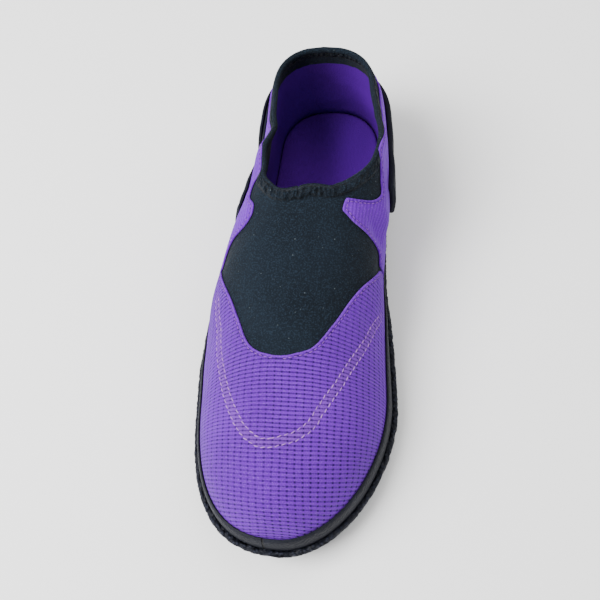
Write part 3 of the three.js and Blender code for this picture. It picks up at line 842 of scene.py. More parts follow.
def build_band():
    """A rounded section, as offsets from the last and shares of the band's height, carried round
    the foot of the upper."""
    face = BAND_OUTER - BAND_DRAWN_IN
    turns = places_round(ROUND_COUNT)[0]
    section = table(
        "offset height",
        (BAND_INNER, 0.0),
        (face - 0.4, 0.0),
        (face - 0.1, 0.05),
        (face, 0.15),
        (face, 0.35),
        (face, 0.55),
        (face - 0.05, 0.75),
        (face - 0.2, 0.88),
        (face - 0.5, 0.96),
        (BAND_INNER + 0.4, 1.0),
        (BAND_INNER + 0.1, 0.985),
        (BAND_INNER, 0.94),
        (BAND_INNER, 0.5),
        (BAND_INNER, 0.0),
    )
    up = up_at(turns[:, None], section["height"] * BAND_HEIGHT)
    points = form_point(turns[:, None], up, section["offset"])
    skin = Skin().grid(points, wall_map(turns[:, None], points), wrap=True)
    return skin.piece("foxing_band_skin", [MATERIALS["band_rubber"]])


def build_insole():
    """A thin slab inside the upper. Its rim is a few rings, each an inset and a share of the
    thickness, and a lid closes it above and below."""
    inset = UPPER_INSET + WALL + CLEARANCE
    base = 2 * CLEARANCE
    rim = table(
        "inset share",
        (0.0, 0.0),
        (0.0, 0.6),
        (0.3, 0.9),
        (1.5, 1.0),
    )
    turns, side = places_round(ROUND_COUNT // 2)
    rings = []
    for more, share in zip(*rim.values()):
        s = along_sole(turns, inset + more)
        z = sole_top(s) + base + INSOLE_THICKNESS * share
        rings.append(np.stack([outline(s, side, inset + more), LENGTH / 2 - s, z], -1))
    rings = np.stack(rings, 1)
    skin = Skin().grid(rings, rings[..., :2], wrap=True)
    for more, lift in ((rim["inset"][-1], base + INSOLE_THICKNESS), (0.0, base)):
        cover = lid(inset + more, lift)
        skin.grid(cover, cover[..., :2])
    return skin.piece("insole_skin", [MATERIALS["lining"]])


# Rays that find the collar's rim: how far one goes along the shoe, in stations, and down a rib
RAY_ALONG = 0.42
RAY_DOWN = 0.75
# Wave of the collar's front: how far the rim moves, the middle of the wave across the shoe and its
# half length, in millimetres, and where it comes in, as shares of the length from the heel end
WAVE_MOVE = 3.0
WAVE_MIDDLE = 8.0
WAVE_HALF = 15.0
WAVE_START, WAVE_SPAN = 0.30, 0.06
# The share of the upper's columns that end at the collar, and the station of the last one's foot
COLLAR_SHARE = 0.45
COLLAR_FOOT = 0.46


def collar_rim(share):
    """Place of the collar's rim, from the back of the heel, 0, to the middle of the front, 1, on
    each side: where rays from the top of the heel cross the topline. Gives station and up."""
    reach = np.linspace(0.05, 1.6, 220)
    rim = []
    for side in (-1, 1):
        angle = np.asarray(share) * np.pi / 2
        at = RAY_ALONG * np.sin(angle)[:, None] * reach
        up = np.clip(1 - RAY_DOWN * np.cos(angle)[:, None] * reach, 0.02, 1)
        points = last_point(side * turn_of(at), up)
        s = LENGTH / 2 - points[..., 1]
        wave = rim_wave(points[..., 0], s)
        above = points[..., 2] - INSTEP_HEIGHT * read(TOPLINE, "at", "top", (s + wave) / LENGTH)
        first = np.argmax(above < 0, axis=1)
        rows = np.arange(len(angle))
        one, two = above[rows, first - 1], above[rows, first]
        part = one / (one - two)
        rim.append([v[rows, first - 1] * (1 - part) + v[rows, first] * part for v in (at, up)])
    return rim


def rim_wave(x, s):
    """The front of the collar dips at its middle and lifts beside it, by a cosine across."""
    front = np.clip((s / LENGTH - WAVE_START) / WAVE_SPAN, 0, 1)
    return front * WAVE_MOVE * (np.cos((x - WAVE_MIDDLE) / WAVE_HALF * np.pi) - 1) / 2


def upper_columns(count):
    """Columns of the upper, heel to toe: foot station, top station and top up, for each side. The
    first ones end at the collar's rim and the others at the ridge, evenly shared."""
    share = np.linspace(0, 1, count)
    rim_share = np.clip(share / COLLAR_SHARE, 0, 1)
    past = (share - COLLAR_SHARE) / (1 - COLLAR_SHARE)
    collar = share < COLLAR_SHARE
    foot = np.where(collar, COLLAR_FOOT * rim_share, COLLAR_FOOT + (1 - COLLAR_FOOT) * past)
    columns = []
    for at, up in collar_rim(rim_share):
        top_at = np.where(collar, at, at[-1] + (1 - at[-1]) * past)
        columns.append((foot, top_at, np.where(collar, up, 1.0)))
    return columns


# Depth of the facing inside the collar at the back, and at the front on each side, and the
# shares of the length from the heel end between which it deepens
FACING_BACK = 13.0
FACING_FRONT = {-1: 48.0, 1: 22.0}
FACING_PLACES = (0.18, 0.34)
# The hem fades out over HEM_FADE at one and a half times its height. The wall's edge is rounded
# over RIM_WIDTH and each face sinks there by RIM_SINK.
HEM_FADE = 1.2
RIM_WIDTH = 1.2
RIM_SINK = 0.9


def build_upper():
    """Both faces of the wall, as ruled columns from the sole line to the rim or the ridge, with
    the hem thickened near the rim. Inside, a facing of the outer fabric goes down from the rim
    and gets deeper, in proportion to the station, towards the front."""
    hem_height = bpy.context.scene.shoe_sizes.hem_height / MM
    rows = np.concatenate([np.linspace(0, 0.8, 50), np.linspace(0.8, 1, 41)[1:]])
    skin = Skin()
    halves, rims = [], []
    for side, (foot, top_at, top_up) in zip((-1, 1), upper_columns(240)):
        foot_turn, top_turn = turn_of(foot), turn_of(top_at)
        turn = side * (foot_turn[:, None] * (1 - rows) + top_turn[:, None] * rows)
        up = top_up[:, None] * rows
        last = np.flatnonzero(top_up < 1)[-1] + 2
        plain = shared_on_ridge(turn, up, 0.0)
        halves.append((side, turn, up, last, plain))
        rims.append(plain[:last, -1])
    for side, turn, up, last, plain in halves:
        gap = distance_to(plain, np.concatenate(rims))
        hem = HEM_THICKNESS * smooth((hem_height * 1.5 - gap) / HEM_FADE)
        sink = RIM_SINK * (1 - np.sqrt(np.clip(gap / RIM_WIDTH, 0, 1)))
        outer = shared_on_ridge(turn, up, hem - sink)
        inner = shared_on_ridge(turn, up, sink - WALL)
        marks = np.stack([gap, np.full_like(gap, UNMARKED[1])], -1)
        skin.grid(outer, fabric_of(outer), slot=0, flip=side < 0, marks=marks)
        depth = (gap[:-1, :-1] + gap[1:, 1:]) / 2
        at = 0.5 - inner[:-1, :-1, 1] / LENGTH
        facing = np.interp(at, FACING_PLACES, (FACING_BACK, FACING_FRONT[side]))
        lined = (depth > facing).astype(int)
        skin.grid(inner, fabric_of(inner), slot=lined, flip=side > 0, marks=marks)
        skin.grid(np.stack([outer[:last, -1], inner[:last, -1]], 1), slot=0)
        skin.grid(np.stack([outer[:, 0], inner[:, 0]], 1), slot=1)
    return skin.piece("upper_skin", [MATERIALS["stretch_fabric"], MATERIALS["lining"]])


# A panel's cut edge: over how many steps of the grid the outer face falls, and by which share of
# the thickness
EDGE_STEPS = 5
EDGE_SINK = 0.55


def edge_fall(steps):
    """Share of the thickness by which the outer face falls, some steps from a cut edge: a quarter
    of a circle."""
    return EDGE_SINK * (1 - np.sqrt(1 - (1 - np.clip(steps / EDGE_STEPS, 0, 1)) ** 2))


# Depth and width of the grooves that threads pull into the mesh
SEAM_GROOVE = (0.30, 0.6)
TOE_EDGE_GROOVE = (0.28, 0.5)
HEEL_EDGE_GROOVE = (0.25, 0.5)


def groove(away, depth, width):
    """How deep a thread pulls the mesh in: a Gaussian of the distance to the thread."""
    return depth * np.exp(-((away / width) ** 2))


def close_edges(skin, outer, inner, columns=(0, -1)):
    """Strips that join a panel's two faces along its first and last row and the given columns."""
    for i in (0, -1):
        skin.grid(np.stack([outer[i], inner[i]], 1))
    for i in columns:
        skin.grid(np.stack([outer[:, i], inner[:, i]], 1))


# Where the closer shares of a panel's rows end
CLOSE_SHARE = 0.012


def eased(count, ends=6):
    """Shares from 0 to 1 with a few closer ones near both ends."""
    near = np.linspace(0, CLOSE_SHARE, ends)[:-1]
    return np.concatenate([near, np.linspace(CLOSE_SHARE, 1 - CLOSE_SHARE, count), 1 - near[::-1]])


def build_toe_panel():
    """Lines of equal height run from the edge on one side round the toe to the other side. The
    outer face sinks along the threads."""
    seam_gap = bpy.context.scene.shoe_sizes.seam_gap / MM
    rows = np.concatenate([np.linspace(0, 0.9, 90), np.linspace(0.9, 1, 14)[1:]])
    share = eased(130)
    halves = []
    for side in (-1, 1):
        start = turn_of(toe_edge_at(side, rows))
        halves.append(side * (start[None, :] + (1 - start[None, :]) * share[:, None]))
    turn = np.concatenate([halves[0], halves[1][::-1][1:]])
    up = np.broadcast_to(rows, turn.shape)
    skin = Skin()
    here = form_point(turn, up, MESH_OUTER)
    under = form_point(turn, up, MESH_INNER)
    for points in (here, under):
        points[:, -1] = (points[:, -1] + points[::-1, -1]) / 2
    edges = [form_point(*toe_edge_path(side, 160, 1.0), MESH_OUTER) for side in (-1, 1)]
    edge = distance_to(here, np.concatenate(edges))
    seam = distance_to(here, form_point(*seam_path(320), MESH_OUTER))
    around = np.abs(turn)
    around = np.where(turn < 0, around, 2 - around)
    outside = up < read(SEAM, "turn", "up", around)
    beyond = np.where(outside, seam, -seam)
    sink = groove(edge - EDGE_GAP, *TOE_EDGE_GROOVE) + groove(seam, *SEAM_GROOVE)
    sink += groove(beyond + seam_gap, *SEAM_GROOVE)
    here += (under - here) / MESH_THICKNESS * sink[..., None]
    steps = np.arange(len(turn))
    here += (under - here) * edge_fall(np.minimum(steps, steps[::-1]))[:, None, None]
    skin.grid(here, fabric_of(here), marks=np.stack([edge, beyond], -1))
    skin.grid(under, fabric_of(under), flip=True)
    close_edges(skin, here, under, columns=(0,))
    return skin.piece("toe_panel_skin", [MATERIALS["purple_mesh"]])


def build_heel_panel():
    """Ruled columns from the sole line to the panel's edge, round the back of the heel."""
    skin = Skin()
    half = np.sin(np.pi / 2 * eased(150))
    share = np.concatenate([-half[::-1], half[1:]])
    rows = np.concatenate([np.linspace(0, 0.94, 60), np.linspace(0.94, 1, 9)[1:]])
    turns, ups = [], []
    for part, edge, side in (
        (share[share < 0], HEEL_EDGE_MEDIAL, -1),
        (share[share >= 0], HEEL_EDGE_LATERAL, 1),
    ):
        base = np.abs(part) * edge["base"][-1]
        at = np.maximum(read(edge, "base", "at", base), 0)
        up = read(edge, "base", "up", base)
        turns.append(side * (turn_of(base)[:, None] * (1 - rows) + turn_of(at)[:, None] * rows))
        ups.append(up[:, None] * rows)
    turn, up = np.concatenate(turns), np.concatenate(ups)
    here = form_point(turn, up, MESH_OUTER)
    under = form_point(turn, up, MESH_INNER)
    edge = distance_to(here, here[:, -1])
    sink = groove(edge - EDGE_GAP, *HEEL_EDGE_GROOVE)
    here += (under - here) / MESH_THICKNESS * sink[..., None]
    here += (under - here) * edge_fall(np.arange(len(rows))[::-1])[:, None]
    marks = np.stack([edge, np.full_like(edge, UNMARKED[1])], -1)
    skin.grid(here, fabric_of(here)[..., ::-1], marks=marks)
    skin.grid(under, fabric_of(under)[..., ::-1], flip=True)
    close_edges(skin, here, under)
    return skin.piece("heel_panel_skin", [MATERIALS["purple_mesh"]])


# The strap's levels on the last. Past the end of the inner part the outer one comes down, over
# a stretch of turns: its outer face by SETTLE_DROP, and its inner face onto the panel.
STRAP_INNER_LEVEL = MESH_OUTER + CLEARANCE
STRAP_OUTER_LEVEL = STRAP_INNER_LEVEL + STRAP_THICKNESS + CLEARANCE
SETTLE_START = 0.02
SETTLE_SPAN = 0.16
SETTLE_DROP = 1.0
# The way round the shoe at the strap's height for one turn, as a share of the length, and how much
# of the thickness the edges lose outside and inside
STRAP_ROUND = 1.3
EDGE_LOSS_OUTSIDE = 0.45
EDGE_LOSS_INSIDE = 0.25


def strap(name, start, end, level, free_end):
    """Flat band wrapped round the last at the strap table's height, between two turns. Its edges
    thin out by a twelfth-power arch. A strap with a free end starts as half a circle and settles
    onto the panel."""
    skin = Skin()
    turn = np.linspace(start, end, 160)
    settle = smooth((turn - SETTLE_START) / SETTLE_SPAN)[:, None] * free_end
    middle = INSTEP_HEIGHT * read(STRAP_MIDDLE, "at", "centre", station_of(turn)) - sole_top(0.0)
    half = np.full_like(turn, STRAP_WIDTH / 2)
    if free_end:
        along = np.clip(np.abs(turn - start) * LENGTH * STRAP_ROUND / (STRAP_WIDTH / 2), 0, 1)
        half = half * np.sqrt(np.clip(1 - (1 - along) ** 2, 0.02, 1))
    across = np.sin(np.linspace(-1, 1, 25) * np.pi / 2)
    up = up_at(turn[:, None], middle[:, None] + half[:, None] * across)
    turn = np.broadcast_to(turn[:, None], up.shape)
    loss = STRAP_THICKNESS * (1 - np.sqrt(np.clip(1 - np.abs(across) ** 12, 0, 1)))
    face = level + STRAP_THICKNESS - SETTLE_DROP * settle
    back = level - settle * (level - STRAP_INNER_LEVEL)
    here = form_point(turn, up, face - EDGE_LOSS_OUTSIDE * loss)
    under = form_point(turn, up, back + EDGE_LOSS_INSIDE * loss)
    skin.grid(here, wall_map(turn, here))
    skin.grid(under, wall_map(turn, under), flip=True)
    close_edges(skin, here, under)
    return skin.piece(name, [MATERIALS["strap_webbing"]])


def build_strap_inner():
    """The part under the other, from its front end on the medial side to the back of the heel."""
    start, end = -turn_of(STRAP_FRONT_MEDIAL), -turn_of(STRAP_UNDER)
    return strap("strap_inner_skin", start, end, STRAP_INNER_LEVEL, False)


def build_strap_outer():
    """The part on top, from its free end on the medial side to its front end on the lateral one."""
    start, end = -turn_of(STRAP_TIP), turn_of(STRAP_FRONT_LATERAL)
    return strap("strap_outer_skin", start, end, STRAP_OUTER_LEVEL, True)


# Gaps between stitches and the thread's radius in millimetres. A seam stitch leans by its sway.
SEAM_THREAD = {"gap": 0.55, "radius": 0.26, "sway": 0.22}
EDGE_THREAD = {"gap": 0.5, "radius": 0.2, "slot": 1}


def build_stitching():
    """Threads of the toe panel's double row and of the rows along the panels' edges."""
    sizes = bpy.context.scene.shoe_sizes
    skin = Skin()
    level = MESH_OUTER - THREAD_DEPTH
    heel_level = MESH_OUTER - HEEL_THREAD_DEPTH
    seam_stitch, edge_stitch = sizes.seam_stitch / MM, sizes.edge_stitch / MM
    outer = seam_path(500)
    for path in (outer, shifted(*outer, sizes.seam_gap / MM)):
        stitch_row(skin, path, level, seam_stitch, **SEAM_THREAD)
    for side in (-1, 1):
        path = shifted(*toe_edge_path(side, 300), EDGE_GAP * side)
        stitch_row(skin, path, level, edge_stitch, **EDGE_THREAD)
        path = shifted(*heel_edge_path(side, 400), EDGE_GAP * side)
        stitch_row(skin, path, heel_level, edge_stitch, **EDGE_THREAD)
    return skin.piece("stitching", [MATERIALS["pale_thread"], MATERIALS["purple_thread"]])


# Materials


class Shading:
    """One material, with short ways to add shader nodes."""

    def __init__(self, name, colour, roughness, shine=0.5):
        self.material = bpy.data.materials.new(name)
        self.material.use_nodes = True
        self.tree = self.material.node_tree
        self.shader = self.tree.nodes["Principled BSDF"]
        self.set("Base Color", (*colour, 1))
        self.set("Roughness", roughness)
        self.set("Specular IOR Level", shine)
        self.place = self.add("TexCoord").outputs["Object"]
        MATERIALS[name] = self.material

    def put(self, socket, value):
        """Links another node's socket, or sets a plain value."""
        if isinstance(value, bpy.types.NodeSocket):
            self.tree.links.new(value, socket)
        else:
            socket.default_value = value

    def set(self, socket, value):
        """Gives one of the shader's own sockets its value."""
        self.put(self.shader.inputs[socket], value)

    def add(self, kind, **settings):
        """A new node of a kind, with its settings."""
        node = self.tree.nodes.new("ShaderNode" + kind)
        for key, value in settings.items():
            setattr(node, key, value)
        return node

    def maths(self, operation, *values):
        """Result of a sum or other operation on sockets or numbers."""
        node = self.add("Math", operation=operation)
        for socket, value in zip(node.inputs, values):
            self.put(socket, value)
        return node.outputs[0]

    def step(self, value, low, high):
        """Smooth rise from 0 at low to 1 at high, or a fall where high is below low."""
        node = self.add("MapRange", interpolation_type="SMOOTHSTEP")
        for socket, number in (("Value", value), ("From Min", low), ("From Max", high)):
            self.put(node.inputs[socket], number)
        return node.outputs[0]

    def noise(self, scale, detail=2.0, stretch=None):
        """Cloudy noise from 0 to 1. scale is in waves a metre."""
        node = self.add("TexNoise")
        place = self.place
        if stretch:
            mapping = self.add("Mapping")
            self.put(mapping.inputs["Vector"], place)
            self.put(mapping.inputs["Scale"], stretch)
            place = mapping.outputs[0]
        for socket, value in (("Vector", place), ("Scale", scale), ("Detail", detail)):
            self.put(node.inputs[socket], value)
        return node.outputs["Fac"]

    def cells(self, scale, stretch=(1, 1, 1)):
        """Distance to the nearest of scattered points, scale of them a metre."""
        mapping = self.add("Mapping")
        self.put(mapping.inputs["Vector"], self.place)
        self.put(mapping.inputs["Scale"], stretch)
        node = self.add("TexVoronoi")
        self.put(node.inputs["Vector"], mapping.outputs[0])
        self.put(node.inputs["Scale"], scale)
        return node.outputs["Distance"]

    def mark(self, name):
        """Distance from an edge or a seam in millimetres, as the skin's marks hold it."""
        return self.add("Attribute", attribute_name=name).outputs["Fac"]

    def fabric(self):
        """Places across and along the cloth in metres, from the fabric map."""
        split = self.add("SeparateXYZ")
        self.put(split.inputs[0], self.add("UVMap", uv_map="fabric").outputs[0])
        return split.outputs[0], split.outputs[1]

    def blend(self, amount, one, two):
        """Mix of two colours, each a socket or red, green and blue."""
        node = self.add("Mix", data_type="RGBA")
        self.put(node.inputs[0], amount)
        for socket, value in ((node.inputs[6], one), (node.inputs[7], two)):
            self.put(socket, value if isinstance(value, bpy.types.NodeSocket) else (*value, 1))
        return node.outputs[2]

    def bump(self, height, distance, under=None):
        """Relief of a height times a distance in metres, over an earlier relief."""
        node = self.add("Bump")
        self.put(node.inputs["Height"], height)
        self.put(node.inputs["Distance"], distance)
        if under:
            self.put(node.inputs["Normal"], under)
        self.set("Normal", node.outputs[0])
        return node.outputs[0]


def tinted(colour, share):
    """A colour with each channel times a share, up to 1."""
    return tuple(min(1, share * channel) for channel in colour)


def mesh_material(colour, dark, row_pitch, column_pitch):
    """Knit in rows across the shoe: triangle waves of both pitches make rows and columns. The
    gaps between rows show as dark dashes, with a larger hole at each column, and both are wider
    beyond the double stitching."""
    s = Shading("purple_mesh", colour, 0.8, 0.10)
    across, along = s.fabric()
    beyond = s.mark("seam")
    edge = s.mark("edge")
    wander = s.noise(70, 1)
    u = s.maths("MULTIPLY_ADD", across, 1 / column_pitch, s.maths("MULTIPLY", wander, 0.5))
    v = s.maths("MULTIPLY_ADD", along, 1 / row_pitch, s.maths("MULTIPLY", wander, 0.4))
    row = s.maths("PINGPONG", v, 0.5)
    between = s.maths("SUBTRACT", 0.5, row)
    column = s.maths("PINGPONG", u, 0.5)
    dash = s.maths("PINGPONG", s.maths("MULTIPLY", u, 5), 0.5)
    open_zone = s.step(beyond, -1.0, 3.0)
    knit = s.step(beyond, -45, -40)
    patchy = s.noise(28, 3)
    line = s.maths("MULTIPLY", s.step(row, 0.32, 0.08), s.step(dash, 0.58, 0.20))
    size = s.maths("MULTIPLY_ADD", open_zone, 0.07, 0.15)
    hole = s.maths("MULTIPLY", s.step(column, size, 0.05), s.step(row, 0.34, 0.16))
    fine = s.maths("MULTIPLY", s.step(between, 0.12, 0.02), s.step(dash, 0.12, 0.35))
    wear = s.step(patchy, 0.30, 0.62)
    shade = s.maths("MULTIPLY", line, s.maths("MULTIPLY_ADD", wear, 0.22, 0.56))
    shade = s.maths("MULTIPLY", shade, s.maths("MULTIPLY_ADD", open_zone, -0.12, 1.0))
    deep = s.maths("MULTIPLY", hole, s.maths("MULTIPLY_ADD", wear, 0.22, 0.78))
    holes = s.maths("MAXIMUM", shade, deep)
    holes = s.maths("MAXIMUM", holes, s.maths("MULTIPLY", fine, 0.36))
    plain_rim = s.step(edge, 0.1, 1.4)
    holes = s.maths("MULTIPLY", s.maths("MULTIPLY", holes, plain_rim), knit)
    flat = s.maths("MULTIPLY_ADD", knit, -0.30, 0.30)
    ribs = s.maths("MULTIPLY", s.step(row, 0.40, 0.05), flat)
    yarn = s.noise(1500, 2)
    tone = s.noise(18, 2)
    base = s.blend(s.step(tone, 0.3, 0.7), tinted(colour, 0.86), tinted(colour, 1.12))
    pale = s.blend(0.30, colour, (0.40, 0.20, 0.72))
    base = s.blend(s.maths("MULTIPLY", s.step(yarn, 0.45, 0.75), 0.55), base, pale)
    band = s.maths("MULTIPLY", s.step(beyond, -4.6, -3.6), s.step(beyond, 0.6, -0.4))
    base = s.blend(s.maths("MULTIPLY", band, 0.22), base, (0.26, 0.10, 0.40))
    stitched = s.maths("MULTIPLY", s.step(edge, 0.8, 1.3), s.step(edge, 2.2, 1.7))
    base = s.blend(s.maths("MULTIPLY", stitched, 0.45), base, dark)
    base = s.blend(ribs, base, dark)
    s.set("Base Color", s.blend(holes, base, dark))
    s.set("Sheen Weight", 0.12)
    s.set("Sheen Roughness", 0.4)
    s.set("Sheen Tint", (0.70, 0.62, 1.0, 1))
    sunk = s.maths("ADD", holes, ribs)
    first = s.bump(s.maths("SUBTRACT", s.maths("MULTIPLY", yarn, 0.5), sunk), 0.00045)
    s.bump(s.noise(120, 2), 0.0008, first)


# Puckers of the hem: how many to a metre, and how they are stretched along each axis
PUCKERS = 430
PUCKER_STRETCH = (1.15, 0.55, 0.8)


def stretch_material(colour):
    """Brushed stretch knit: a fine grain, sparse lint, and puckers where the hem is stitched, with
    painted shade in their hollows.
    """
    s = Shading("stretch_fabric", colour, 0.9, 0.10)
    grain = s.noise(1500, 4)
    soft = s.noise(35, 2)
    lint = s.step(s.cells(420), 0.15, 0.08)
    rare = s.step(s.noise(420, 0), 0.62, 0.70)
    fluff = s.maths("MULTIPLY", lint, rare)
    base = s.blend(s.step(soft, 0.3, 0.7), tinted(colour, 0.85), tinted(colour, 1.3))
    grey = s.maths("MULTIPLY", s.step(grain, 0.46, 0.66), 0.8)
    base = s.blend(grey, base, tinted(colour, 3.2))
    edge = s.mark("edge")
    hem = s.maths("MULTIPLY", s.step(edge, 0.8, 2.2), s.step(edge, 6.6, 4.8))
    puckers = s.cells(PUCKERS, PUCKER_STRETCH)
    # Painted shade: the hollows of the hem's puckers are darkened towards black, over their bump
    dimple_shade = s.maths("MULTIPLY", s.step(puckers, 0.45, 0.15), hem)
    base = s.blend(s.maths("MULTIPLY", dimple_shade, 0.6), base, (0.001, 0.002, 0.003))
    s.set("Base Color", s.blend(s.maths("MULTIPLY", fluff, 0.4), base, (0.14, 0.17, 0.18)))
    s.set("Sheen Weight", 0.03)
    s.set("Sheen Roughness", 0.5)
    first = s.bump(s.maths("MULTIPLY", puckers, hem), 0.0030)
    second = s.bump(s.noise(150, 2), 0.0006, first)
    s.bump(grain, 0.0004, second)


def sole_material(colour):
    """Rough pebbled rubber: scattered cells stand out, with a painted highlight on their tops, and a
    little dust.
    """
    s = Shading("sole_rubber", colour, 0.62, 0.18)
    pebbles = s.cells(560)
    dust = s.step(s.noise(260, 3), 0.62, 0.80)
    # Painted highlight: the middle of each raised cell is made paler, as if lit from above
    pale = s.blend(s.step(pebbles, 0.55, 0.15), colour, tinted(colour, 2.6))
    s.set("Base Color", s.blend(s.maths("MULTIPLY", dust, 0.35), pale, (0.10, 0.10, 0.10)))
    first = s.bump(s.maths("SUBTRACT", 1.0, pebbles), 0.0012)
    s.bump(s.noise(420, 3), 0.0008, first)


# Place of the band's joint across the shoe, its half width, and the place along the shoe past
# which it shows, in metres
JOINT_X = -0.006
JOINT_HALF = 0.0006
JOINT_PAST = -0.1


def band_material(colour):
    """Smooth satin rubber with a slight pebble and one joint at the toe."""
    s = Shading("band_rubber", colour, 0.55, 0.13)
    place = s.add("SeparateXYZ")
    s.put(place.inputs[0], s.place)
    away = s.maths("ABSOLUTE", s.maths("SUBTRACT", place.outputs[0], JOINT_X))
    toe = s.step(place.outputs[1], JOINT_PAST, JOINT_PAST - 0.01)
    joint = s.maths("MULTIPLY", s.step(away, JOINT_HALF, 0.0001), toe)
    scuff = s.step(s.noise(55, 4), 0.58, 0.75)
    base = s.blend(s.maths("MULTIPLY", scuff, 0.4), colour, tinted(colour, 2.1))
    s.set("Base Color", s.blend(joint, base, (0.004, 0.004, 0.005)))
    first = s.bump(s.maths("SUBTRACT", s.noise(650, 3), s.maths("MULTIPLY", joint, 1.2)), 0.0007)
    s.bump(s.noise(60, 2), 0.0012, first)


def lining_material(colour):
    """Brushed lining with soft folds, darker in their troughs and paler on their crests: painted shade
    and painted highlight.
    """
    s = Shading("lining", colour, 0.9, 0.08)
    soft = s.noise(30, 2, (1, 0.4, 1))
    # Painted shade and highlight: the colour follows the folds' bump, darker in the troughs and paler on
    # the crests
    base = s.blend(s.step(soft, 0.3, 0.7), tinted(colour, 0.7), tinted(colour, 1.25))
    s.set("Base Color", base)
    first = s.bump(soft, 0.003)
    s.bump(s.noise(1300, 2), 0.0003, first)


def strap_material(colour):
    """Flat bonded strap with a faint weave."""
    s = Shading("strap_webbing", colour, 0.75, 0.15)
    weave = s.noise(900, 2, (1, 1, 0.35))
    base = s.blend(s.step(s.noise(60, 3), 0.45, 0.75), colour, tinted(colour, 1.8))
    s.set("Base Color", base)
    s.bump(weave, 0.0003)


def thread_material(name, colour):
    """Thread with a fine twist and slightly uneven colour."""
    s = Shading(name, colour, 0.6, 0.2)
    s.set("Base Color", s.blend(s.noise(500, 1), tinted(colour, 0.75), colour))
    s.bump(s.noise(2500, 1), 0.0002)


# What a user would change


class ShoeSizes(bpy.types.PropertyGroup):
    """Sizes of the sewn and knitted details, which the solids don't have"""
    row_pitch: FloatProperty(
        name="Row pitch", description="Distance between rows of the mesh", default=0.0019,
        min=0.0005, subtype="DISTANCE",
    )
    column_pitch: FloatProperty(
        name="Column pitch", description="Distance between columns of holes in the mesh",
        default=0.0036, min=0.001, subtype="DISTANCE",
    )
    hem_height: FloatProperty(
        name="Hem height", description="Height of the thick hem round the collar", default=0.004,
        min=0.002, subtype="DISTANCE",
    )
    seam_gap: FloatProperty(
        name="Seam gap", description="Distance between the two rows of stitches over the toe",
        default=0.0037, min=0.001, subtype="DISTANCE",
    )
    seam_stitch: FloatProperty(
        name="Seam stitch", description="Length of a stitch over the toe", default=0.0025,
        min=0.001, subtype="DISTANCE",
    )
    edge_stitch: FloatProperty(
        name="Edge stitch", description="Length of a stitch along a panel's edge",
        default=0.0019, min=0.001, subtype="DISTANCE",
    )


class ShoeColours(bpy.types.PropertyGroup):
    """Colours of the fabrics and the rubber"""
    purple: FloatVectorProperty(
        name="Purple", description="Colour of the mesh panels", subtype="COLOR",
        default=(0.128, 0.0070, 0.405), min=0, max=1,
    )
    gaps: FloatVectorProperty(
        name="Gaps", description="Colour seen through the mesh", subtype="COLOR",
        default=(0.014, 0.001, 0.060), min=0, max=1,
    )
    black: FloatVectorProperty(
        name="Black", description="Colour of the stretch fabric", subtype="COLOR",
        default=(0.0037, 0.0064, 0.0103), min=0, max=1,
    )
    rubber: FloatVectorProperty(
        name="Rubber", description="Colour of the sole and the band above it", subtype="COLOR",
        default=(0.0060, 0.0070, 0.0122), min=0, max=1,
    )
    lining: FloatVectorProperty(
        name="Lining", description="Colour of the lining and footbed", subtype="COLOR",
        default=(0.064, 0.0025, 0.205), min=0, max=1,
    )
    seam_thread: FloatVectorProperty(
        name="Seam thread", description="Colour of the stitches over the toe", subtype="COLOR",
        default=(0.36, 0.15, 0.52), min=0, max=1,
    )
    edge_thread: FloatVectorProperty(
        name="Edge thread", description="Colour of the stitches along the panels' edges",
        subtype="COLOR", default=(0.24, 0.07, 0.42), min=0, max=1,
    )


class SHOE_OT_materials(bpy.types.Operator):
    """Makes the materials"""
    bl_idname = "shoe.materials"
    bl_label = "Materials"

    def execute(self, context):
        colours = context.scene.shoe_colours
        sizes = context.scene.shoe_sizes
        pitches = (sizes.row_pitch, sizes.column_pitch)
        mesh_material(tuple(colours.purple), tuple(colours.gaps), *pitches)
        stretch_material(tuple(colours.black))
        sole_material(tuple(colours.rubber))
        band_material(tuple(colours.rubber))
        lining_material(tuple(colours.lining))
        strap_material(tuple(colours.rubber))
        thread_material("pale_thread", tuple(colours.seam_thread))
        thread_material("purple_thread", tuple(colours.edge_thread))
        return {"FINISHED"}


def dress(*rows):
    """Builds each row's piece, which takes the place of the row's solid."""
    for build, node, slot in rows:
        piece = build()
        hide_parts(node)


class SHOE_OT_sole(bpy.types.Operator):
    """Builds the outsole, the smooth band above it and the insole"""
    bl_idname = "shoe.sole"
    bl_label = "Sole"

    def execute(self, context):
        dress(
            (build_outsole, "outsole", "sole_rubber"),
            (build_band, "foxing_band", "band_rubber"),
            (build_insole, "insole", "lining"),
        )
        return {"FINISHED"}


class SHOE_OT_upper(bpy.types.Operator):
    """Builds the stretch upper and its mesh panels"""
    bl_idname = "shoe.upper"
    bl_label = "Upper"

    def execute(self, context):
        dress(
            (build_upper, "upper", "stretch_fabric"),
            (build_toe_panel, "toe_panel", "purple_mesh"),
            (build_heel_panel, "heel_panel", "purple_mesh"),
        )
        return {"FINISHED"}


class SHOE_OT_strap(bpy.types.Operator):
    """Builds the two parts of the heel strap"""
    bl_idname = "shoe.strap"
    bl_label = "Heel strap"

    def execute(self, context):
        dress(
            (build_strap_inner, "strap_inner", "strap_webbing"),
            (build_strap_outer, "strap_outer", "strap_webbing"),
        )
        return {"FINISHED"}


class SHOE_OT_stitching(bpy.types.Operator):
    """Sews the toe panel's double row and the rows along the panels' edges"""
    bl_idname = "shoe.stitching"
    bl_label = "Stitching"

    def execute(self, context):
        build_stitching()
        return {"FINISHED"}


class StageSettings(bpy.types.PropertyGroup):
    """Lens and lights of the picture"""
    lens: FloatProperty(
        name="Lens", description="Focal length that frames the whole shoe", default=46, min=20,
        max=120, unit="CAMERA",
    )
    sky: FloatProperty(name="Sky", description="Strength of the white surroundings", default=0.85, min=0)
    key: FloatProperty(name="Key", description="Power of the soft light, in watts", default=38, min=0)


# How far the floor reaches on each side, in metres
FLOOR_REACH = 3.0


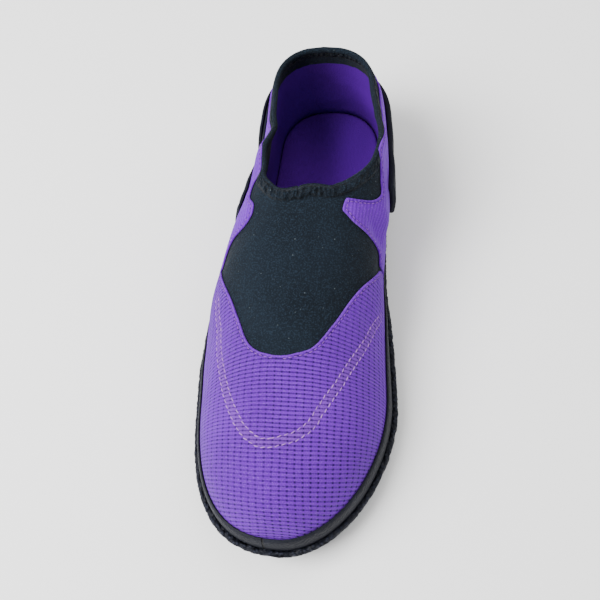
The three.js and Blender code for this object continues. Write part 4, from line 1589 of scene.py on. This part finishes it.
class SHOE_OT_stage(bpy.types.Operator):
    """Lays the floor, sets the lights and aims the camera"""
    bl_idname = "shoe.stage"
    bl_label = "Stage"

    def execute(self, context):
        scene = context.scene
        settings = scene.shoe_stage
        mesh = bpy.data.meshes.new("floor")
        far = FLOOR_REACH
        corners = [(-far, -far, 0), (far, -far, 0), (far, far, 0), (-far, far, 0)]
        mesh.from_pydata(corners, [], [(0, 1, 2, 3)])
        floor = bpy.data.objects.new("floor", mesh)
        mesh.materials.append(Shading("floor", (0.92, 0.92, 0.92), 0.9).material)
        scene.collection.objects.link(floor)
        world = bpy.data.worlds.new("studio")
        world.use_nodes = True
        background = world.node_tree.nodes["Background"]
        background.inputs["Color"].default_value = (1, 1, 1, 1)
        background.inputs["Strength"].default_value = settings.sky
        scene.world = world
        for name, spot, size, power in (
            ("key", (-0.75, -0.30, 1.0), 0.8, settings.key),
            ("fill", (0.5, 0.6, 0.9), 1.0, settings.key / 6),
        ):
            lamp = bpy.data.lights.new(name, "AREA")
            lamp.size = size
            lamp.energy = power
            light = bpy.data.objects.new(name, lamp)
            light.location = spot
            light.rotation_euler = (-light.location).to_track_quat("-Z", "Y").to_euler()
            scene.collection.objects.link(light)
        camera = bpy.data.cameras.new("camera")
        eye = bpy.data.objects.new("camera", camera)
        scene.collection.objects.link(eye)
        aim_camera(eye, settings.lens)
        scene.camera = eye
        return {"FINISHED"}


# Where the photo was taken from, in metres, and how far its view turns to the left of the shoe's
# length and looks down. The middle of the shoe is the new target.
EYE = Vector((0.05274, -0.17349, 0.36178))
PHOTO_TURN = math.radians(2)
PHOTO_DOWN = math.radians(70)
TARGET = Vector((0.001, -0.009, 0.028))


def aim_camera(eye, lens):
    """Stands where the photo was taken and turns from its view to the middle of the shoe, by the
    smallest turn, so that the shoe keeps its lean."""
    right = Vector((math.cos(PHOTO_TURN), math.sin(PHOTO_TURN), 0))
    level = Vector((-right.y, right.x, 0))
    view = level * math.cos(PHOTO_DOWN) - Vector((0, 0, math.sin(PHOTO_DOWN)))
    photo = Matrix((right, right.cross(view), -view)).transposed().to_quaternion()
    turn = view.rotation_difference(TARGET - EYE)
    eye.location = EYE
    eye.rotation_mode = "QUATERNION"
    eye.rotation_quaternion = turn @ photo
    eye.data.sensor_width = 36
    eye.data.lens = lens


class SHOE_PT_panel(bpy.types.Panel):
    """Lists the shoe's settings and operators"""
    bl_label = "Water shoe"
    bl_idname = "SHOE_PT_panel"
    bl_space_type = "VIEW_3D"
    bl_region_type = "UI"
    bl_category = "Shoe"

    def draw(self, context):
        for name, kind in SETTINGS.items():
            for value in kind.__annotations__:
                self.layout.prop(getattr(context.scene, name), value)
        for operator in OPERATORS:
            self.layout.operator(operator.bl_idname)


OPERATORS = (
    SHOE_OT_materials,
    SHOE_OT_sole,
    SHOE_OT_upper,
    SHOE_OT_strap,
    SHOE_OT_stitching,
    SHOE_OT_stage,
)
SETTINGS = {"shoe_sizes": ShoeSizes, "shoe_colours": ShoeColours, "shoe_stage": StageSettings}
CLASSES = (*SETTINGS.values(), *OPERATORS, SHOE_PT_panel)


def register():
    """Registers the classes and gives the scene each group of settings."""
    for each in CLASSES:
        bpy.utils.register_class(each)
    for name, kind in SETTINGS.items():
        setattr(bpy.types.Scene, name, PointerProperty(type=kind))


def unregister():
    """Takes away what register gave."""
    for name in SETTINGS:
        delattr(bpy.types.Scene, name)
    for each in reversed(CLASSES):
        bpy.utils.unregister_class(each)


def main():
    """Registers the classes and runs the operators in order."""
    register()
    bpy.ops.shoe.materials()
    bpy.ops.shoe.sole()
    bpy.ops.shoe.upper()
    bpy.ops.shoe.strap()
    bpy.ops.shoe.stitching()
    bpy.ops.shoe.stage()


if __name__ == "__main__":
    main()
